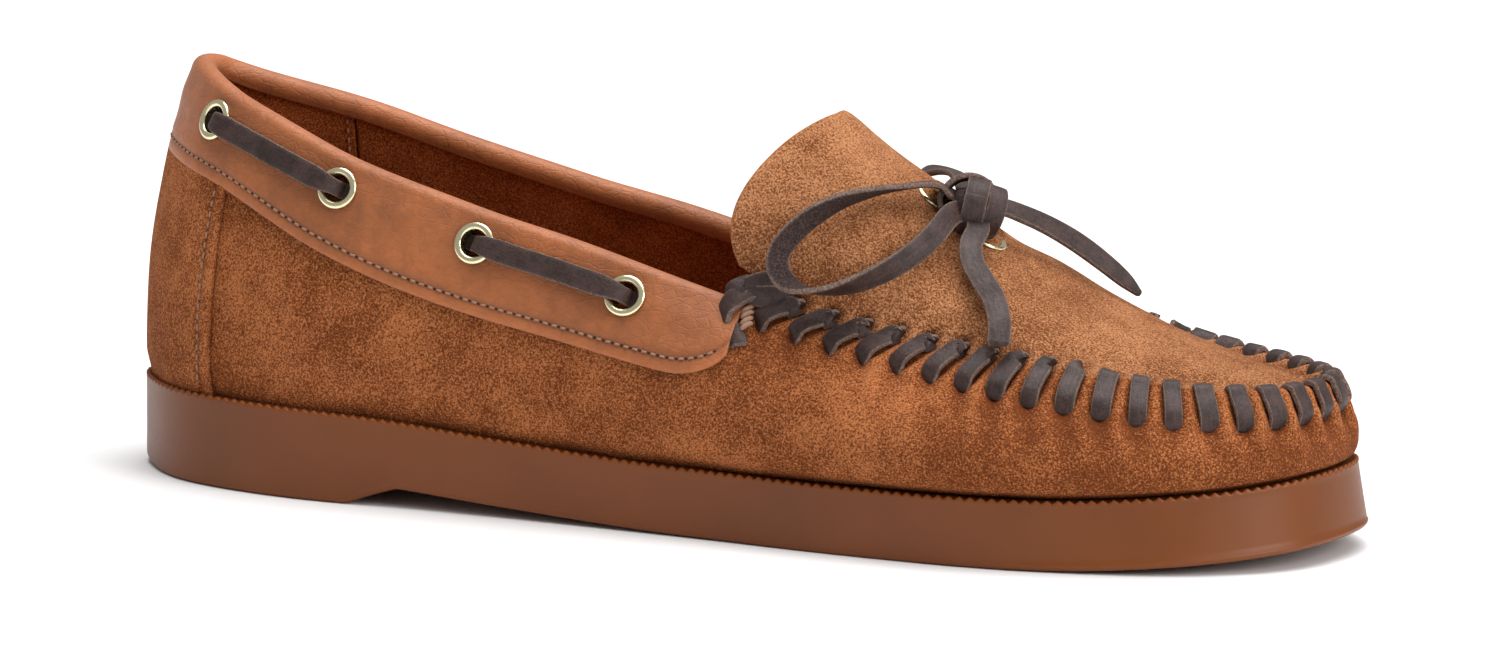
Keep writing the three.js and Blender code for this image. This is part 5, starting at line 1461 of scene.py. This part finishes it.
class MOCCASIN_OT_stage(bpy.types.Operator):
    """Pale floor, soft studio light and the camera"""
    bl_idname = "moccasin.stage"
    bl_label = "Stage"

    def execute(self, context):
        scene = context.scene
        floor = bpy.data.meshes.new("floor")
        floor.from_pydata([(-6, -6, 0), (6, -6, 0), (6, 6, 0), (-6, 6, 0)], [], [(0, 1, 2, 3)])
        m = Maker("floor_paper")
        paper = m.noise(m.place(), 3, 2)
        floor.materials.append(m.finish(Base_Color=m.blend(paper, *FLOOR_TONES), Roughness=0.95,
                                        Specular_IOR_Level=0.1))
        ground = bpy.data.objects.new("floor", floor)
        scene.collection.objects.link(ground)
        world = bpy.data.worlds.new("studio")
        world.use_nodes = True
        world.node_tree.nodes["Background"].inputs[0].default_value = (1, 1, 1, 1)
        world.node_tree.nodes["Background"].inputs[1].default_value = WORLD_LIGHT
        scene.world = world
        sky = bpy.data.lights.new("sky", "SUN")
        sky.energy, sky.angle = SKY_POWER, SKY_SPREAD
        lamps = [("sky", sky, SKY_PLACE, SKY_AIM)]
        for name, place, size, power, aim in SOFT_BOXES:
            light = bpy.data.lights.new(name, "AREA")
            light.size, light.energy = size, power
            lamps.append((name, light, place, aim))
        for name, light, place, aim in lamps:
            lamp = bpy.data.objects.new(name, light)
            lamp.location = place
            lamp.rotation_euler = (Vector(aim) - Vector(place)).to_track_quat("-Z", "Y").to_euler()
            scene.collection.objects.link(lamp)
        view = bpy.data.cameras.new("camera")
        view.lens, view.sensor_width, view.clip_end = CAMERA_LENS, 36.0, 50.0
        camera = bpy.data.objects.new("camera", view)
        camera.matrix_world = camera_matrix()
        scene.collection.objects.link(camera)
        scene.camera = camera
        scene.view_settings.view_transform = "Standard"
        return {"FINISHED"}


FLOOR_TONES = (0.86, 0.86, 0.86, 1), (0.89, 0.89, 0.89, 1)
WORLD_LIGHT = 0.37
SKY_PLACE, SKY_AIM, SKY_POWER, SKY_SPREAD = (0.5, 0.25, 3.0), (0.09, 0, 0), 2.3, np.radians(60)
# Each soft box: name, place, width, power and what it is turned to.
SOFT_BOXES = (("front_right", (1.5, -0.45, 0.7), 0.8, 13, (0.14, 0, 0.03)),
              ("overhead", (0.1, 0.2, 1.5), 1.0, 9, (0.09, 0, 0.03)))
CAMERA_LENS = 220.147
CAMERA_TURN, CAMERA_RISE, CAMERA_ROLL = np.radians((21.859, 9.644, -0.643))
CAMERA_TARGET, CAMERA_FAR, CAMERA_SLIDE = (0.094, 0, 0.03), 1.8, (0.000907, 0.006162)


def camera_matrix():
    """Looks at the target from the given turn and height, rolled about its own axis and slid a little aside."""
    sa, ca, se, ce = np.sin(CAMERA_TURN), np.cos(CAMERA_TURN), np.sin(CAMERA_RISE), np.cos(CAMERA_RISE)
    back = np.array((sa * ce, -ca * ce, se))
    right = np.array((ca, sa, 0))
    up = np.cross(back, right)
    place = np.array(CAMERA_TARGET) + back * CAMERA_FAR + right * CAMERA_SLIDE[0] + up * CAMERA_SLIDE[1]
    roll_c, roll_s = np.cos(CAMERA_ROLL), np.sin(CAMERA_ROLL)
    columns = (right * roll_c - up * roll_s, right * roll_s + up * roll_c, back, place)
    return Matrix([[float(c[row]) for c in columns] for row in range(3)] + [[0, 0, 0, 1]])


class MOCCASIN_PT_build(bpy.types.Panel):
    bl_label = "Moccasin"
    bl_space_type = "VIEW_3D"
    bl_region_type = "UI"
    bl_category = "Moccasin"

    def draw(self, context):
        for group in settings():
            for key in group.__annotations__:
                self.layout.prop(group, key)
        for operator in OPERATORS:
            self.layout.operator(operator.bl_idname)


OPERATORS = (MOCCASIN_OT_sole, MOCCASIN_OT_upper, MOCCASIN_OT_collar, MOCCASIN_OT_lining, MOCCASIN_OT_inside,
             MOCCASIN_OT_eyelets, MOCCASIN_OT_lacing, MOCCASIN_OT_bow, MOCCASIN_OT_stage)
CLASSES = (MoccasinColours, MoccasinSizes, *OPERATORS, MOCCASIN_PT_build)


def register():
    for cls in CLASSES:
        bpy.utils.register_class(cls)
    bpy.types.Scene.moccasin_colours = bpy.props.PointerProperty(type=MoccasinColours)
    bpy.types.Scene.moccasin_sizes = bpy.props.PointerProperty(type=MoccasinSizes)


def unregister():
    del bpy.types.Scene.moccasin_sizes
    del bpy.types.Scene.moccasin_colours
    for cls in reversed(CLASSES):
        bpy.utils.unregister_class(cls)


def main():
    register()
    for operator in OPERATORS:
        group, name = operator.bl_idname.split(".")
        getattr(getattr(bpy.ops, group), name)()


if __name__ == "__main__":
    main()
